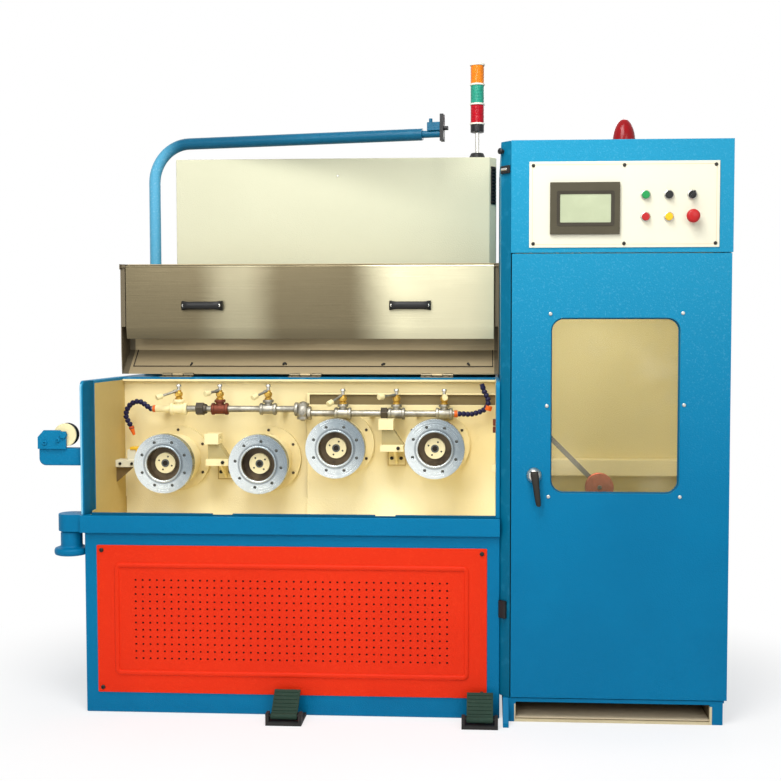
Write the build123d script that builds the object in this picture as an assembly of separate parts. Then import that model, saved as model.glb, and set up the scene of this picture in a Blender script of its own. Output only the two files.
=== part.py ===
"""Wire drawing machine: drawing bench with a lidded capstan tub, and a spooler cabinet beside it.

Millimetres, +Z up. The operator stands at -Y; the wire runs from the left (-X) to the right.
The origin is on the floor, under the centre of the machine's overall box.
"""
import math
import os

from build123d import *

# Overall layout
BASE_W = 1323.0
BASE_D = 820.0
BASE_H = 580.0
BED_T = 55.0
BED_LIP = 16.0
CAB_W = 704.0
CAB_H = 1802.0
ARM_REACH = 154.0
PEDAL_REACH = 104.0

# Tub above the bed
TUB_H = 428.0
TUB_DEPTH = 350.0
TUB_OVERHANG = 10.0
TUB_SIDE_T = 34.0
TUB_RIGHT_T = 14.0
TUB_BACK_T = 30.0
TUB_CORNER_R = 22.0
RAISED_PLATE_T = 20.0
RAISED_PLATE_SHARE = 0.5056
RAISED_PLATE_GAP = 53.0
SLOT_H = 34.0
SLOT_DEPTH = 8.0
SLOT_TOP_GAP = 6.0
SLOT_END_GAP = 10.0

# Capstans, at shares of the tub's width and height; their radius is a share of the closest pitch
CAPSTAN_X_SHARE = (0.168, 0.405, 0.5964, 0.841)
CAPSTAN_Z_SHARE = (0.346, 0.346, 0.47, 0.47)
CAPSTAN_R_SHARE = 0.376
CAPSTAN_FRONT = 150.0
CAPSTAN_RING_L = 34.0
CAPSTAN_STEP_L = 50.0
CAPSTAN_STEP_R_SHARE = (0.93, 0.88)
CAPSTAN_RECESS_R_SHARE = 0.56
CAPSTAN_RECESS_DEPTH = 42.0
CAPSTAN_HOLES = 8
CAPSTAN_HOLE_R = 5.0
CAPSTAN_HOLE_DEPTH = 14.0
CAPSTAN_HOLE_PCD_SHARE = 0.78
HUB_R_SHARE = 0.347
HUB_L = 16.0
HUB_BORE_R = 9.0
HUB_BORE_DEPTH = 36.0
HUB_SCREWS = 4
HUB_SCREW_R = 3.0
HUB_SCREW_DEPTH = 8.0
HUB_SCREW_PCD_SHARE = 0.68
SHAFT_R = 24.0
SHAFT_END_GAP = 1.0
SHAFT_CLEARANCE = 0.06
BEARING_R_SHARE = 0.43
BEARING_T = 14.0
BEARING_NOSE_R_SHARE = 0.625
BEARING_NOSE_L = 22.0
BEARING_SCREWS = 6
BEARING_SCREW_R = 5.0
BEARING_SCREW_DEPTH = 6.0
BEARING_SCREW_PCD_SHARE = 0.875
RUN_GAP = 6.0

# Lid
LID_HINGE_R = 6.0
LID_HINGE_RISE = 8.0
LID_HINGE_SETBACK = 10.0
LID_FRONT_GAP = 12.0
LID_HOOD_D = 92.0
LID_SLOPE_H = 82.0
LID_SHEET = 3.0
LID_TOP_RISE = 10.0
LID_MARGIN_LEFT = 19.0
LID_MARGIN_RIGHT = 2.0
FLAP_H_SHARE = 0.554
FLAP_LIP_H = 42.0
FLAP_LIP_BACK = 6.0
FLAP_FACE_GAP = 2.0
FLAP_SIDE_GAP = 6.0
FLAP_FIT = 0.08
HANDLE_W = 142.0
HANDLE_RISE = 34.0
HANDLE_T = 20.0
HANDLE_FOOT = 22.0
HANDLE_BAR = 12.0
HANDLE_X_SHARE = (0.2326, 0.7712)
HANDLE_DROP_SHARE = 0.36
HINGE_X_SHARE = (0.165, 0.499, 0.840)
HINGE_LEN = 110.0
HINGE_EYE = 33.0
HINGE_EYE_GAP = 5.0
HINGE_PIN_R = 3.0
LEAF_D = 26.0
LEAF_T = 3.0
LEAF_GAP = 8.0

# Cabinet
CAB_WALL = 20.0
CAB_FRONT = 24.0
CAB_CHAMFER = 31.0
PLINTH_H = 75.0
HEAD_H = 342.0
DOOR_GAP = 3.0
DOOR_T = 22.0
DOOR_PIN_R = 5.0
DOOR_PIN_L = 10.0
DOOR_PIN_INSET = 11.0
DOOR_SWING_GAP = 9.0
PIN_CLEARANCE = 0.06
WINDOW_W_SHARE = 0.5907
WINDOW_H_SHARE = 0.393
WINDOW_X_SHARE = 0.1807
WINDOW_Z_SHARE = 0.6613
WINDOW_R = 40.0
GLASS_T = 4.0
GLASS_LAP = 14.0
PLINTH_LEG_W = 40.0
PLINTH_RAIL_H = 8.0
PLINTH_SIDE_GAP = (10.0, 14.0)
PLINTH_FRONT_GAP = 4.0
PLINTH_TOP_T = 12.0

# Small pieces
PIPE_R = 11.0
TEE_R = 17.0
TEE_L = 54.0
HOSE_R = 9.0
GOOSE_R = 20.0
GOOSE_BEND = 135.0
GOOSE_TURN = 10.0
BOX_START = 171.0
BOX_END = 36.0
BOX_D = 290.0
BOX_H = 769.0
BOX_SETBACK = 500.0
BOX_CHAMFER = 24.0

# Places that follow from the layout
OVERALL_W = ARM_REACH + BASE_W + CAB_W
BASE_X0 = -OVERALL_W / 2 + ARM_REACH
BASE_X1 = BASE_X0 + BASE_W
CAB_X0 = BASE_X1
CAB_X1 = CAB_X0 + CAB_W
FRONT = (PEDAL_REACH - BASE_D) / 2
BACK = FRONT + BASE_D
BED_Z0 = BASE_H
BED_Z1 = BASE_H + BED_T
RIM_Z = BED_Z1 + TUB_H
TUB_X0 = BASE_X0 - TUB_OVERHANG
TUB_IN_X0 = TUB_X0 + TUB_SIDE_T
TUB_IN_X1 = BASE_X1 - TUB_RIGHT_T
TUB_W = BASE_X1 - TUB_X0
WALL_Y = FRONT + TUB_DEPTH
HOUSING_Y = WALL_Y + TUB_BACK_T
LID_Y = WALL_Y + LID_HINGE_SETBACK
LID_Z = RIM_Z + LID_HINGE_RISE
LID_X0 = TUB_X0 + LID_MARGIN_LEFT
LID_X1 = BASE_X1 - LID_MARGIN_RIGHT
LID_REACH = TUB_DEPTH + LID_HINGE_SETBACK + LID_FRONT_GAP
FLAP_Z = LID_Z + LID_REACH
FLAP_H = FLAP_H_SHARE * LID_REACH
BOX_TOP = RIM_Z + BOX_H
CAB_Y = FRONT - CAB_FRONT
HEAD_Z = CAB_H - HEAD_H
DOOR_Z0 = PLINTH_H + DOOR_GAP
DOOR_Z1 = HEAD_Z - DOOR_GAP
DOOR_X0 = CAB_X0 + CAB_CHAMFER + DOOR_GAP
DOOR_X1 = CAB_X1 - DOOR_GAP
DOOR_W = DOOR_X1 - DOOR_X0
DOOR_H = DOOR_Z1 - DOOR_Z0
DOOR_AXIS_X = DOOR_X1 - DOOR_PIN_INSET
DOOR_AXIS_Y = CAB_Y + DOOR_T / 2


def tub_x(share):
    """Place at a share of the tub's width, from its left end."""
    return TUB_X0 + share * TUB_W


def door_z(share):
    """Height at a share of the door, from its lower edge."""
    return DOOR_Z0 + share * DOOR_H


def box(x0, x1, y0, y1, z0, z1):
    """A block between two corners."""
    return Pos((x0 + x1) / 2, (y0 + y1) / 2, (z0 + z1) / 2) * Box(x1 - x0, y1 - y0, z1 - z0)


def rod_y(x, y0, y1, z, r):
    """A round bar along Y."""
    return Pos(x, (y0 + y1) / 2, z) * Rot(90, 0, 0) * Cylinder(r, y1 - y0)


def rod_x(x0, x1, y, z, r):
    """A round bar along X."""
    return Pos((x0 + x1) / 2, y, z) * Rot(0, 90, 0) * Cylinder(r, x1 - x0)


def rod_z(x, y, z0, z1, r):
    """A round bar along Z."""
    return Pos(x, y, (z0 + z1) / 2) * Cylinder(r, z1 - z0)


def prism_x(points, x0, x1):
    """A (y, z) outline drawn out along X."""
    face = Plane.YZ * make_face(Polyline(*points, close=True))
    return Pos(x0, 0, 0) * extrude(face, x1 - x0)


def prism_z(points, z0, z1):
    """An (x, y) outline drawn out along Z."""
    return Pos(0, 0, z0) * extrude(make_face(Polyline(*points, close=True)), z1 - z0)


def prism_y(points, y0, y1):
    """An (x, z) outline drawn out along Y."""
    face = Plane.XZ * make_face(Polyline(*points, close=True))
    return Pos(0, y0, 0) * extrude(face, -(y1 - y0))


parts = {}

# Base: closed housing with a pressed red front panel
PANEL_SIDE = 40.0
PANEL_LOW = 66.0
PANEL_TOP_GAP = 40.0
PANEL_T = 4.0
BEAD_IN = 56.0
BEAD_W = 16.0
BEAD_RISE = 5.0
parts["base_housing"] = box(BASE_X0, BASE_X1, FRONT, BACK, 0, BASE_H)
panel_x0 = BASE_X0 + PANEL_SIDE
panel_x1 = BASE_X1 - PANEL_SIDE
panel_z1 = BASE_H - PANEL_TOP_GAP
panel = box(panel_x0, panel_x1, FRONT - PANEL_T, FRONT, PANEL_LOW, panel_z1)
bead = box(panel_x0 + BEAD_IN, panel_x1 - BEAD_IN, FRONT - PANEL_T - BEAD_RISE, FRONT - PANEL_T,
           PANEL_LOW + BEAD_IN, panel_z1 - BEAD_IN)
bead -= box(panel_x0 + BEAD_IN + BEAD_W, panel_x1 - BEAD_IN - BEAD_W, FRONT - PANEL_T - BEAD_RISE,
            FRONT - PANEL_T,
            PANEL_LOW + BEAD_IN + BEAD_W, panel_z1 - BEAD_IN - BEAD_W)
parts["front_panel"] = panel + bead

# Bed plate with a rounded ear at its left front corner, and the boss under the ear
EAR_R = 40.0
BOSS_R = 34.0
BOSS_H = 54.0
BOSS_FLANGE_R = 54.0
BOSS_FLANGE_T = 24.0
BOSS_OUT = 56.0
ear_x = BASE_X0 - BOSS_OUT
ear_y = FRONT + EAR_R
bed = box(TUB_X0, BASE_X1, FRONT - BED_LIP, BACK, BED_Z0, BED_Z1)
bed += box(ear_x, TUB_X0, ear_y - EAR_R, ear_y + EAR_R, BED_Z0, BED_Z1)
bed += rod_z(ear_x, ear_y, BED_Z0, BED_Z1, EAR_R)
parts["bed_plate"] = bed
boss = rod_z(ear_x, ear_y, BED_Z0 - BOSS_H, BED_Z0, BOSS_R)
boss += rod_z(ear_x, ear_y, BED_Z0 - BOSS_H - BOSS_FLANGE_T, BED_Z0 - BOSS_H, BOSS_FLANGE_R)
parts["pivot_boss"] = boss

# Tub walls; the bed is its floor
left_wall = box(TUB_X0, TUB_IN_X0, FRONT, WALL_Y, BED_Z1, RIM_Z)
parts["tub_left_wall"] = fillet(left_wall.edges().filter_by(Axis.X).group_by(Axis.Z)[-1].sort_by(Axis.Y)[0],
                                TUB_CORNER_R)
right_wall = box(TUB_IN_X1, BASE_X1, FRONT, WALL_Y, BED_Z1, RIM_Z)
parts["tub_right_wall"] = fillet(right_wall.edges().filter_by(Axis.X).group_by(Axis.Z)[-1].sort_by(Axis.Y)[0],
                                 TUB_CORNER_R)
raised_x0 = tub_x(RAISED_PLATE_SHARE)
plate_y = WALL_Y - RAISED_PLATE_T
bearing_y = {0: WALL_Y, 1: WALL_Y, 2: plate_y, 3: plate_y}
capstan_xz = [(tub_x(x), BED_Z1 + z * TUB_H) for x, z in zip(CAPSTAN_X_SHARE, CAPSTAN_Z_SHARE)]
back_wall = box(TUB_X0, BASE_X1, WALL_Y, HOUSING_Y, BED_Z1, RIM_Z)
raised_z1 = RIM_Z - RAISED_PLATE_GAP
raised = box(raised_x0, TUB_IN_X1, plate_y, WALL_Y, BED_Z1, raised_z1)
slot_z1 = raised_z1 - SLOT_TOP_GAP
raised -= box(raised_x0 + SLOT_END_GAP, TUB_IN_X1, plate_y, plate_y + SLOT_DEPTH, slot_z1 - SLOT_H, slot_z1)
parts["tub_back_wall"] = back_wall
parts["bearing_plate"] = raised
LIP_T = 10.0
LIP_H = 8.0
NOTCH_W = 64.0
NOTCH_X_SHARE = (0.342, 0.730)
lip = box(TUB_IN_X0, TUB_IN_X1, FRONT, FRONT + LIP_T, BED_Z1, BED_Z1 + LIP_H)
for share in NOTCH_X_SHARE:
    notch_x = tub_x(share)
    lip -= box(notch_x - NOTCH_W / 2, notch_x + NOTCH_W / 2, FRONT, FRONT + LIP_T, BED_Z1 + LIP_H / 2,
               BED_Z1 + LIP_H)
parts["tub_front_lip"] = lip
RAIL_D = 26.0
RAIL_H = 14.0
parts["tub_back_wall"] += box(TUB_IN_X0, TUB_IN_X1, WALL_Y - RAIL_D, WALL_Y, RIM_Z - RAIL_H, RIM_Z)
parts["gearbox_housing"] = box(TUB_X0, BASE_X1, HOUSING_Y, BACK, BED_Z1, RIM_Z)

# Bearing flanges and capstans; the two in the middle are the closest
pitch = math.dist(capstan_xz[1], capstan_xz[2])
CAPSTAN_R = CAPSTAN_R_SHARE * pitch
BEARING_R = BEARING_R_SHARE * pitch
HUB_R = HUB_R_SHARE * CAPSTAN_R


def ring_of(count, x, z, radius, start=0.0):
    """Places round a circle, in the plane that faces the operator."""
    for k in range(count):
        angle = 2 * math.pi * (k + start) / count
        yield x + radius * math.cos(angle), z + radius * math.sin(angle)


flanges = []
for i, (cx, cz) in enumerate(capstan_xz):
    wall_y = bearing_y[i]
    flange_y = wall_y - BEARING_T
    nose_y = flange_y - BEARING_NOSE_L
    flange = rod_y(cx, flange_y, wall_y, cz, BEARING_R)
    flange += rod_y(cx, nose_y, flange_y, cz, BEARING_NOSE_R_SHARE * BEARING_R)
    flange -= rod_y(cx, nose_y, wall_y, cz, SHAFT_R + SHAFT_CLEARANCE)
    for hx, hz in ring_of(BEARING_SCREWS, cx, cz, BEARING_SCREW_PCD_SHARE * BEARING_R, 0.5):
        flange -= rod_y(hx, flange_y, flange_y + BEARING_SCREW_DEPTH, hz, BEARING_SCREW_R)
    flanges.append(flange)
    ring_y = FRONT + CAPSTAN_FRONT
    step_y = ring_y + CAPSTAN_RING_L
    neck_y = step_y + CAPSTAN_STEP_L
    drum_y = nose_y - RUN_GAP
    hub_y = ring_y + CAPSTAN_RECESS_DEPTH
    hub_face = hub_y - HUB_L
    drum = rod_y(cx, ring_y, step_y, cz, CAPSTAN_R)
    drum += rod_y(cx, step_y, neck_y, cz, CAPSTAN_STEP_R_SHARE[0] * CAPSTAN_R)
    drum += rod_y(cx, neck_y, drum_y, cz, CAPSTAN_STEP_R_SHARE[1] * CAPSTAN_R)
    drum += rod_y(cx, drum_y, wall_y - SHAFT_END_GAP, cz, SHAFT_R)
    drum -= rod_y(cx, ring_y, hub_y, cz, CAPSTAN_RECESS_R_SHARE * CAPSTAN_R)
    drum += rod_y(cx, hub_face, hub_y, cz, HUB_R)
    drum -= rod_y(cx, hub_face, hub_face + HUB_BORE_DEPTH, cz, HUB_BORE_R)
    for hx, hz in ring_of(HUB_SCREWS, cx, cz, HUB_SCREW_PCD_SHARE * HUB_R, 0.5):
        drum -= rod_y(hx, hub_face, hub_face + HUB_SCREW_DEPTH, hz, HUB_SCREW_R)
    for hx, hz in ring_of(CAPSTAN_HOLES, cx, cz, CAPSTAN_HOLE_PCD_SHARE * CAPSTAN_R):
        drum -= rod_y(hx, ring_y, ring_y + CAPSTAN_HOLE_DEPTH, hz, CAPSTAN_HOLE_R)
    parts[f"capstan_{i + 1}"] = drum
parts["bearing_flanges"] = Compound(flanges)

# Die holders: a foot on the wall, a shelf with a rib under it, and a die block on a sloping neck
HOLDER_FRONT = 120.0
HOLDER_GAP = 10.0
HOLDER_W_SHARE = 0.24
HOLDER_LIFT = 7.0
HOLDER_SHELF_T = 22.0
HOLDER_FOOT_T = 14.0
HOLDER_FOOT_H = 58.0
HOLDER_FOOT_IN = 16.0
HOLDER_RIB_T = 8.0
HOLDER_RIB_GAP = 6.0
HOLDER_RIB_SETBACK = 12.0
NECK_H = 50.0
NECK_SIDE = 4.0
NECK_TOP_SHARE = 0.53
NECK_SETBACK = 20.0
NECK_D = 44.0
DIE_BLOCK_W_SHARE = 0.63
DIE_BLOCK_OUT = 6.0
DIE_BLOCK_H = 35.0
DIE_BLOCK_D = 62.0
DIE_BLOCK_SETBACK = 8.0
DIE_BORE_R = 8.0


def die_holder(first, second, y_wall):
    """Die holder between two capstans, its shelf a little above their shafts."""
    spacing = capstan_xz[second][0] - capstan_xz[first][0]
    width = HOLDER_W_SHARE * spacing
    x0 = capstan_xz[first][0] + BEARING_R + HOLDER_GAP
    x1 = x0 + width
    top = capstan_xz[first][1] + HOLDER_LIFT
    low = top - HOLDER_SHELF_T
    y0 = y_wall - HOLDER_FRONT
    foot_y = y_wall - HOLDER_FOOT_T
    foot_low = low - HOLDER_FOOT_H
    holder = box(x0, x1, y0, y_wall, low, top)
    holder += box(x0 + HOLDER_FOOT_IN, x1, foot_y, y_wall, foot_low, low)
    rib = [(y0 + HOLDER_RIB_SETBACK, low), (foot_y, low), (foot_y, foot_low + HOLDER_RIB_GAP)]
    rib_x = (x0 + HOLDER_FOOT_IN + x1 - HOLDER_RIB_T) / 2
    holder += prism_x(rib, rib_x, rib_x + HOLDER_RIB_T)
    neck_top = top + NECK_H
    neck = [(x0 + NECK_SIDE, top), (x1 - NECK_SIDE / 2, top), (x0 + NECK_TOP_SHARE * width, neck_top),
            (x0 + NECK_SIDE, neck_top)]
    holder += prism_y(neck, y0 + NECK_SETBACK, y0 + NECK_SETBACK + NECK_D)
    block_x0 = x0 - DIE_BLOCK_OUT
    block_x1 = block_x0 + DIE_BLOCK_W_SHARE * width
    block_y0 = y0 + DIE_BLOCK_SETBACK
    holder += box(block_x0, block_x1, block_y0, block_y0 + DIE_BLOCK_D, neck_top, neck_top + DIE_BLOCK_H)
    return holder - rod_x(block_x0, block_x1, block_y0 + DIE_BLOCK_D / 2, neck_top + DIE_BLOCK_H / 2,
                          DIE_BORE_R)


parts["die_holder_left"] = die_holder(0, 1, WALL_Y)
parts["die_holder_right"] = die_holder(2, 3, plate_y)

# Inlet die block on the tub's left wall
INLET_L = 76.0
INLET_D = 50.0
INLET_H = 24.0
INLET_WALL_GAP = 60.0
INLET_LIFT = 2.0
INLET_DIE_L = 34.0
INLET_DIE_D = 30.0
INLET_DIE_H = 34.0
INLET_DIE_END = 4.0
INLET_BORE_R = 5.0
inlet_z = capstan_xz[0][1] + INLET_LIFT
inlet_y1 = WALL_Y - INLET_WALL_GAP
inlet_y0 = inlet_y1 - INLET_D
inlet_mid_y = (inlet_y0 + inlet_y1) / 2
inlet_x1 = TUB_IN_X0 + INLET_L
die_x1 = inlet_x1 - INLET_DIE_END
die_x0 = die_x1 - INLET_DIE_L
inlet = box(TUB_IN_X0, inlet_x1, inlet_y0, inlet_y1, inlet_z - INLET_H, inlet_z)
inlet += box(die_x0, die_x1, inlet_mid_y - INLET_DIE_D / 2, inlet_mid_y + INLET_DIE_D / 2, inlet_z,
             inlet_z + INLET_DIE_H)
inlet -= rod_x(die_x0, die_x1, inlet_mid_y, inlet_z + INLET_DIE_H / 2, INLET_BORE_R)
parts["inlet_die_block"] = inlet

# Spray manifold: two straight runs joined by a stepped elbow, with tees, on wall brackets
MAN_WALL_GAP = 62.0
MAN_RISE = 23.0
MAN_STEP = 14.0
MAN_START = 150.0
MAN_END = 126.0
MAN_ELBOW_SHARE = 0.4966
ELBOW_R = 21.0
ELBOW_REACH = 20.0
TEE_X_SHARE = (0.0872, 0.2234, 0.3826, 0.627, 0.8015, 0.9559)
BRACKET_X_SHARE = (0.0384, 0.4295, 0.7191, 0.8725)
BRACKET_W = 18.0
BRACKET_H = 14.0
BRANCH_R = 13.0
BRANCH_H = 30.0
VALVE_R = 10.0
VALVE_H = 32.0
VALVE_STEM_R = 6.0
VALVE_STEM_H = 14.0
LEVER_L = 70.0
LEVER_TAIL = 8.0
LEVER_W = 16.0
LEVER_T = 4.0
KNOB_R = 10.0
KNOB_H = 24.0
KNOB_RISE = 6.0
MAN_Y = WALL_Y - MAN_WALL_GAP
MAN_Z = capstan_xz[2][1] + CAPSTAN_R + MAN_RISE
MAN_X0 = TUB_X0 + MAN_START
MAN_X1 = TUB_IN_X1 - MAN_END
low_run_z = MAN_Z - MAN_STEP


def run_x(share):
    """Place at a share of the manifold's length, from its left end."""
    return MAN_X0 + share * (MAN_X1 - MAN_X0)


elbow_x = run_x(MAN_ELBOW_SHARE)


def run_z(x):
    """Height of the manifold's pipe at a place along it."""
    return MAN_Z if x < elbow_x else low_run_z


manifold = rod_x(MAN_X0, elbow_x, MAN_Y, MAN_Z, PIPE_R)
manifold += rod_x(elbow_x, MAN_X1, MAN_Y, low_run_z, PIPE_R)
manifold += rod_z(elbow_x, MAN_Y, low_run_z - ELBOW_REACH, MAN_Z + ELBOW_REACH, ELBOW_R)
valves = []
levers = []
for share in TEE_X_SHARE:
    tx = run_x(share)
    tz = run_z(tx)
    valve_z = tz + BRANCH_H
    stem_z = valve_z + VALVE_H
    lever_z = stem_z + VALVE_STEM_H
    manifold += rod_x(tx - TEE_L / 2, tx + TEE_L / 2, MAN_Y, tz, TEE_R)
    manifold += rod_z(tx, MAN_Y, tz, valve_z, BRANCH_R)
    valves.append(rod_z(tx, MAN_Y, valve_z, stem_z, VALVE_R) + rod_z(tx, MAN_Y, stem_z, lever_z,
                                                                     VALVE_STEM_R))
    tip = tx + LEVER_TAIL - LEVER_L
    lever = box(tip, tx + LEVER_TAIL, MAN_Y - LEVER_W / 2, MAN_Y + LEVER_W / 2, lever_z, lever_z + LEVER_T)
    levers.append(lever + rod_z(tip, MAN_Y, lever_z + KNOB_RISE - KNOB_H, lever_z + KNOB_RISE, KNOB_R))
for share in BRACKET_X_SHARE:
    bx = run_x(share)
    bz = run_z(bx)
    wall_y = WALL_Y if bx < elbow_x else plate_y
    manifold += box(bx - BRACKET_W / 2, bx + BRACKET_W / 2, MAN_Y, wall_y, bz - BRACKET_H / 2,
                    bz + BRACKET_H / 2)
parts["spray_manifold"] = manifold
parts["spray_valves"] = Compound(valves)
parts["valve_levers"] = Compound(levers)

# Jointed coolant hoses: each leaves its end of the manifold and loops back to its nozzle
HOSE_LEFT = ((-55.0, 24.0), (-92.0, -14.0), (-74.0, -66.0))
HOSE_RIGHT = ((62.0, -4.0), (104.0, 28.0), (84.0, 88.0))


def hose(x, z, steps, start, end):
    """Jointed coolant hose that holds the bend it is given."""
    points = [(x, MAN_Y, z)] + [(x + across, MAN_Y, z + up) for across, up in steps]
    path = Spline(*points, tangents=[start, end])
    ring = Plane(path @ 0, z_dir=path % 0) * Circle(HOSE_R)
    return sweep(ring, path)


parts["coolant_hose_left"] = hose(MAN_X0, MAN_Z, HOSE_LEFT, (-1, 0, 0), (0.5, 0, -0.9))
parts["coolant_hose_right"] = hose(MAN_X1, low_run_z, HOSE_RIGHT, (1, 0, 0), (-0.4, 0, 0.9))

# Lid: a hinged hood, open, with end plates and a rod along its top front edge
KNUCKLE_GAP = 2.0
HOOD_EYE_GAP = 5.0
HOOD_TAB_D = 12.0
HOOD_TAB_T = 4.0
HOOD_LIP_SETBACK = 8.0
END_STRIP_SETBACK = 3.0
LUG_REACH = 8.0
LUG_BACK = 24.0
LUG_DROP = 8.0
FLAP_END_GAP = 2.0
FLAP_TUBE_R = 5.5
FLAP_ROD_R = 3.0
knuckle = LID_HINGE_R + KNUCKLE_GAP
hood_foot = LID_Z + KNUCKLE_GAP
hood_back = LID_Y + LID_HOOD_D
hood_bend = LID_Z + LID_SLOPE_H
hood_top = FLAP_Z + LID_TOP_RISE
hood_lip = LID_Y + HOOD_LIP_SETBACK
strip_y = LID_Y + END_STRIP_SETBACK
flap_x0 = TUB_IN_X0 + FLAP_SIDE_GAP
flap_x1 = TUB_IN_X1 - FLAP_SIDE_GAP
hood = prism_x([(LID_Y + knuckle, hood_foot), (hood_back, hood_bend), (hood_back, hood_top),
                (hood_lip, hood_top),
                (hood_lip, hood_top - LID_SHEET), (hood_back - LID_SHEET, hood_top - LID_SHEET),
                (hood_back - LID_SHEET, hood_bend + KNUCKLE_GAP),
                (LID_Y + knuckle, hood_foot + LID_SHEET + KNUCKLE_GAP)], LID_X0, LID_X1)
end_plate = [(LID_Y + knuckle, hood_foot), (hood_back, hood_bend), (hood_back, hood_top), (strip_y, hood_top),
             (strip_y, hood_bend)]
lug = [(LID_Y - LUG_REACH, FLAP_Z - LUG_DROP), (LID_Y + LUG_BACK, FLAP_Z - LUG_DROP),
       (LID_Y + LUG_BACK, hood_top),
       (LID_Y - LUG_REACH, hood_top)]
strip_z0 = FLAP_Z - FLAP_H
for x0, x1, strip_x0, strip_x1 in (
        (LID_X0, LID_X0 + LID_SHEET, LID_X0, flap_x0 - FLAP_END_GAP - LID_SHEET),
        (LID_X1 - LID_SHEET, LID_X1, flap_x1 + FLAP_END_GAP + LID_SHEET, LID_X1)):
    hood += prism_x(end_plate, x0, x1)
    hood += prism_x(lug, x0, x1)
    hood += box(strip_x0, strip_x1, strip_y, strip_y + LID_SHEET, strip_z0, hood_top)
for share in HINGE_X_SHARE:
    eye_x0 = tub_x(share) - HINGE_LEN / 2 + HINGE_EYE + HINGE_EYE_GAP
    eye_x1 = eye_x0 + HINGE_LEN - 2 * (HINGE_EYE + HINGE_EYE_GAP)
    hood += rod_x(eye_x0, eye_x1, LID_Y, LID_Z, LID_HINGE_R)
    hood += box(eye_x0, eye_x1, LID_Y, LID_Y + HOOD_TAB_D, LID_Z + KNUCKLE_GAP / 2,
                LID_Z + KNUCKLE_GAP / 2 + HOOD_TAB_T)
hood -= rod_x(LID_X0, LID_X1, LID_Y, LID_Z, HINGE_PIN_R + PIN_CLEARANCE)
hood += rod_x(LID_X0 + LID_SHEET / 2, LID_X1 - LID_SHEET / 2, LID_Y, FLAP_Z, FLAP_ROD_R)
parts["lid_hood"] = hood
leaves = []
for share in HINGE_X_SHARE:
    leaf_x0 = tub_x(share) - HINGE_LEN / 2
    leaf_x1 = leaf_x0 + HINGE_LEN
    leaf_y1 = LID_Y - LEAF_GAP
    eye_low = LID_Z - LID_HINGE_R + KNUCKLE_GAP
    leaf = box(leaf_x0, leaf_x1, leaf_y1 - LEAF_D, leaf_y1, RIM_Z, RIM_Z + LEAF_T)
    for eye_x0, eye_x1 in ((leaf_x0, leaf_x0 + HINGE_EYE), (leaf_x1 - HINGE_EYE, leaf_x1)):
        leaf += rod_x(eye_x0, eye_x1, LID_Y, LID_Z, LID_HINGE_R)
        leaf += prism_x([(leaf_y1 - LEAF_T, RIM_Z), (LID_Y, RIM_Z), (LID_Y, eye_low), (leaf_y1, eye_low)],
                        eye_x0, eye_x1)
    leaves.append(leaf + rod_x(leaf_x0, leaf_x1, LID_Y, LID_Z, HINGE_PIN_R))
parts["lid_hinges"] = Compound(leaves)

# Flap hangs on the hood's rod and fits between the tub's walls
flap_back = LID_Y - FLAP_FACE_GAP
flap_front = flap_back - LID_SHEET
flap_bend = FLAP_Z - FLAP_H
flap_low = flap_bend - FLAP_LIP_H
flap_toe = LID_Y + FLAP_LIP_BACK
flap = prism_x([(flap_back, FLAP_Z), (flap_back, flap_bend), (flap_toe, flap_low),
                (flap_toe - LID_SHEET, flap_low),
                (flap_front, flap_bend), (flap_front, FLAP_Z)], flap_x0, flap_x1)
flap += rod_x(flap_x0, flap_x1, LID_Y, FLAP_Z, FLAP_TUBE_R)
flap -= rod_x(flap_x0, flap_x1, LID_Y, FLAP_Z, FLAP_ROD_R + FLAP_FIT)
parts["lid_flap"] = flap
handle_z = FLAP_Z - HANDLE_DROP_SHARE * LID_REACH
handle_x = [tub_x(share) for share in HANDLE_X_SHARE]
grips = []
for hx in handle_x:
    grip_x0 = hx - HANDLE_W / 2
    grip_x1 = hx + HANDLE_W / 2
    grip_y0 = flap_front - HANDLE_RISE
    grip = box(grip_x0, grip_x1, grip_y0, flap_front, handle_z - HANDLE_T / 2, handle_z + HANDLE_T / 2)
    grip -= box(grip_x0 + HANDLE_FOOT, grip_x1 - HANDLE_FOOT, grip_y0 + HANDLE_BAR, flap_front,
                handle_z - HANDLE_T / 2,
                handle_z + HANDLE_T / 2)
    grips.append(grip)
parts["lid_handles"] = Compound(grips)

# Electrical box behind the lid, with a cut-off right corner, and the signal tower on top
box_x0 = BASE_X0 + BOX_START
box_x1 = BASE_X1 - BOX_END
box_y0 = FRONT + BOX_SETBACK
parts["electrical_box"] = prism_z([(box_x0, box_y0), (box_x1, box_y0),
                                   (box_x1 + BOX_CHAMFER, box_y0 + BOX_CHAMFER),
                                   (box_x1 + BOX_CHAMFER, box_y0 + BOX_D), (box_x0, box_y0 + BOX_D)], RIM_Z,
                                  BOX_TOP)
TOWER_END_GAP = 44.0
TOWER_SETBACK = 60.0
TOWER_FOOT_R = (32.0, 22.0)
TOWER_FOOT_H = 22.0
TOWER_POLE_R = 7.0
TOWER_POLE_H = 74.0
TOWER_COLLAR_H = 26.0
LENS_R = 24.0
LENS_H = 63.0
RING_R = 26.0
RING_H = 6.0
TOWER_CAP_H = 11.0
tower_x = box_x1 - TOWER_END_GAP
tower_y = box_y0 + TOWER_SETBACK
pole_z = BOX_TOP + TOWER_FOOT_H
collar_z = pole_z + TOWER_POLE_H
tower = Pos(tower_x, tower_y, BOX_TOP + TOWER_FOOT_H / 2) * Cone(*TOWER_FOOT_R, TOWER_FOOT_H)
tower += rod_z(tower_x, tower_y, pole_z, collar_z, TOWER_POLE_R)
tower += rod_z(tower_x, tower_y, collar_z, collar_z + TOWER_COLLAR_H, LENS_R)
parts["tower_stem"] = tower
lens_z = collar_z + TOWER_COLLAR_H
rings = []
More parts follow.
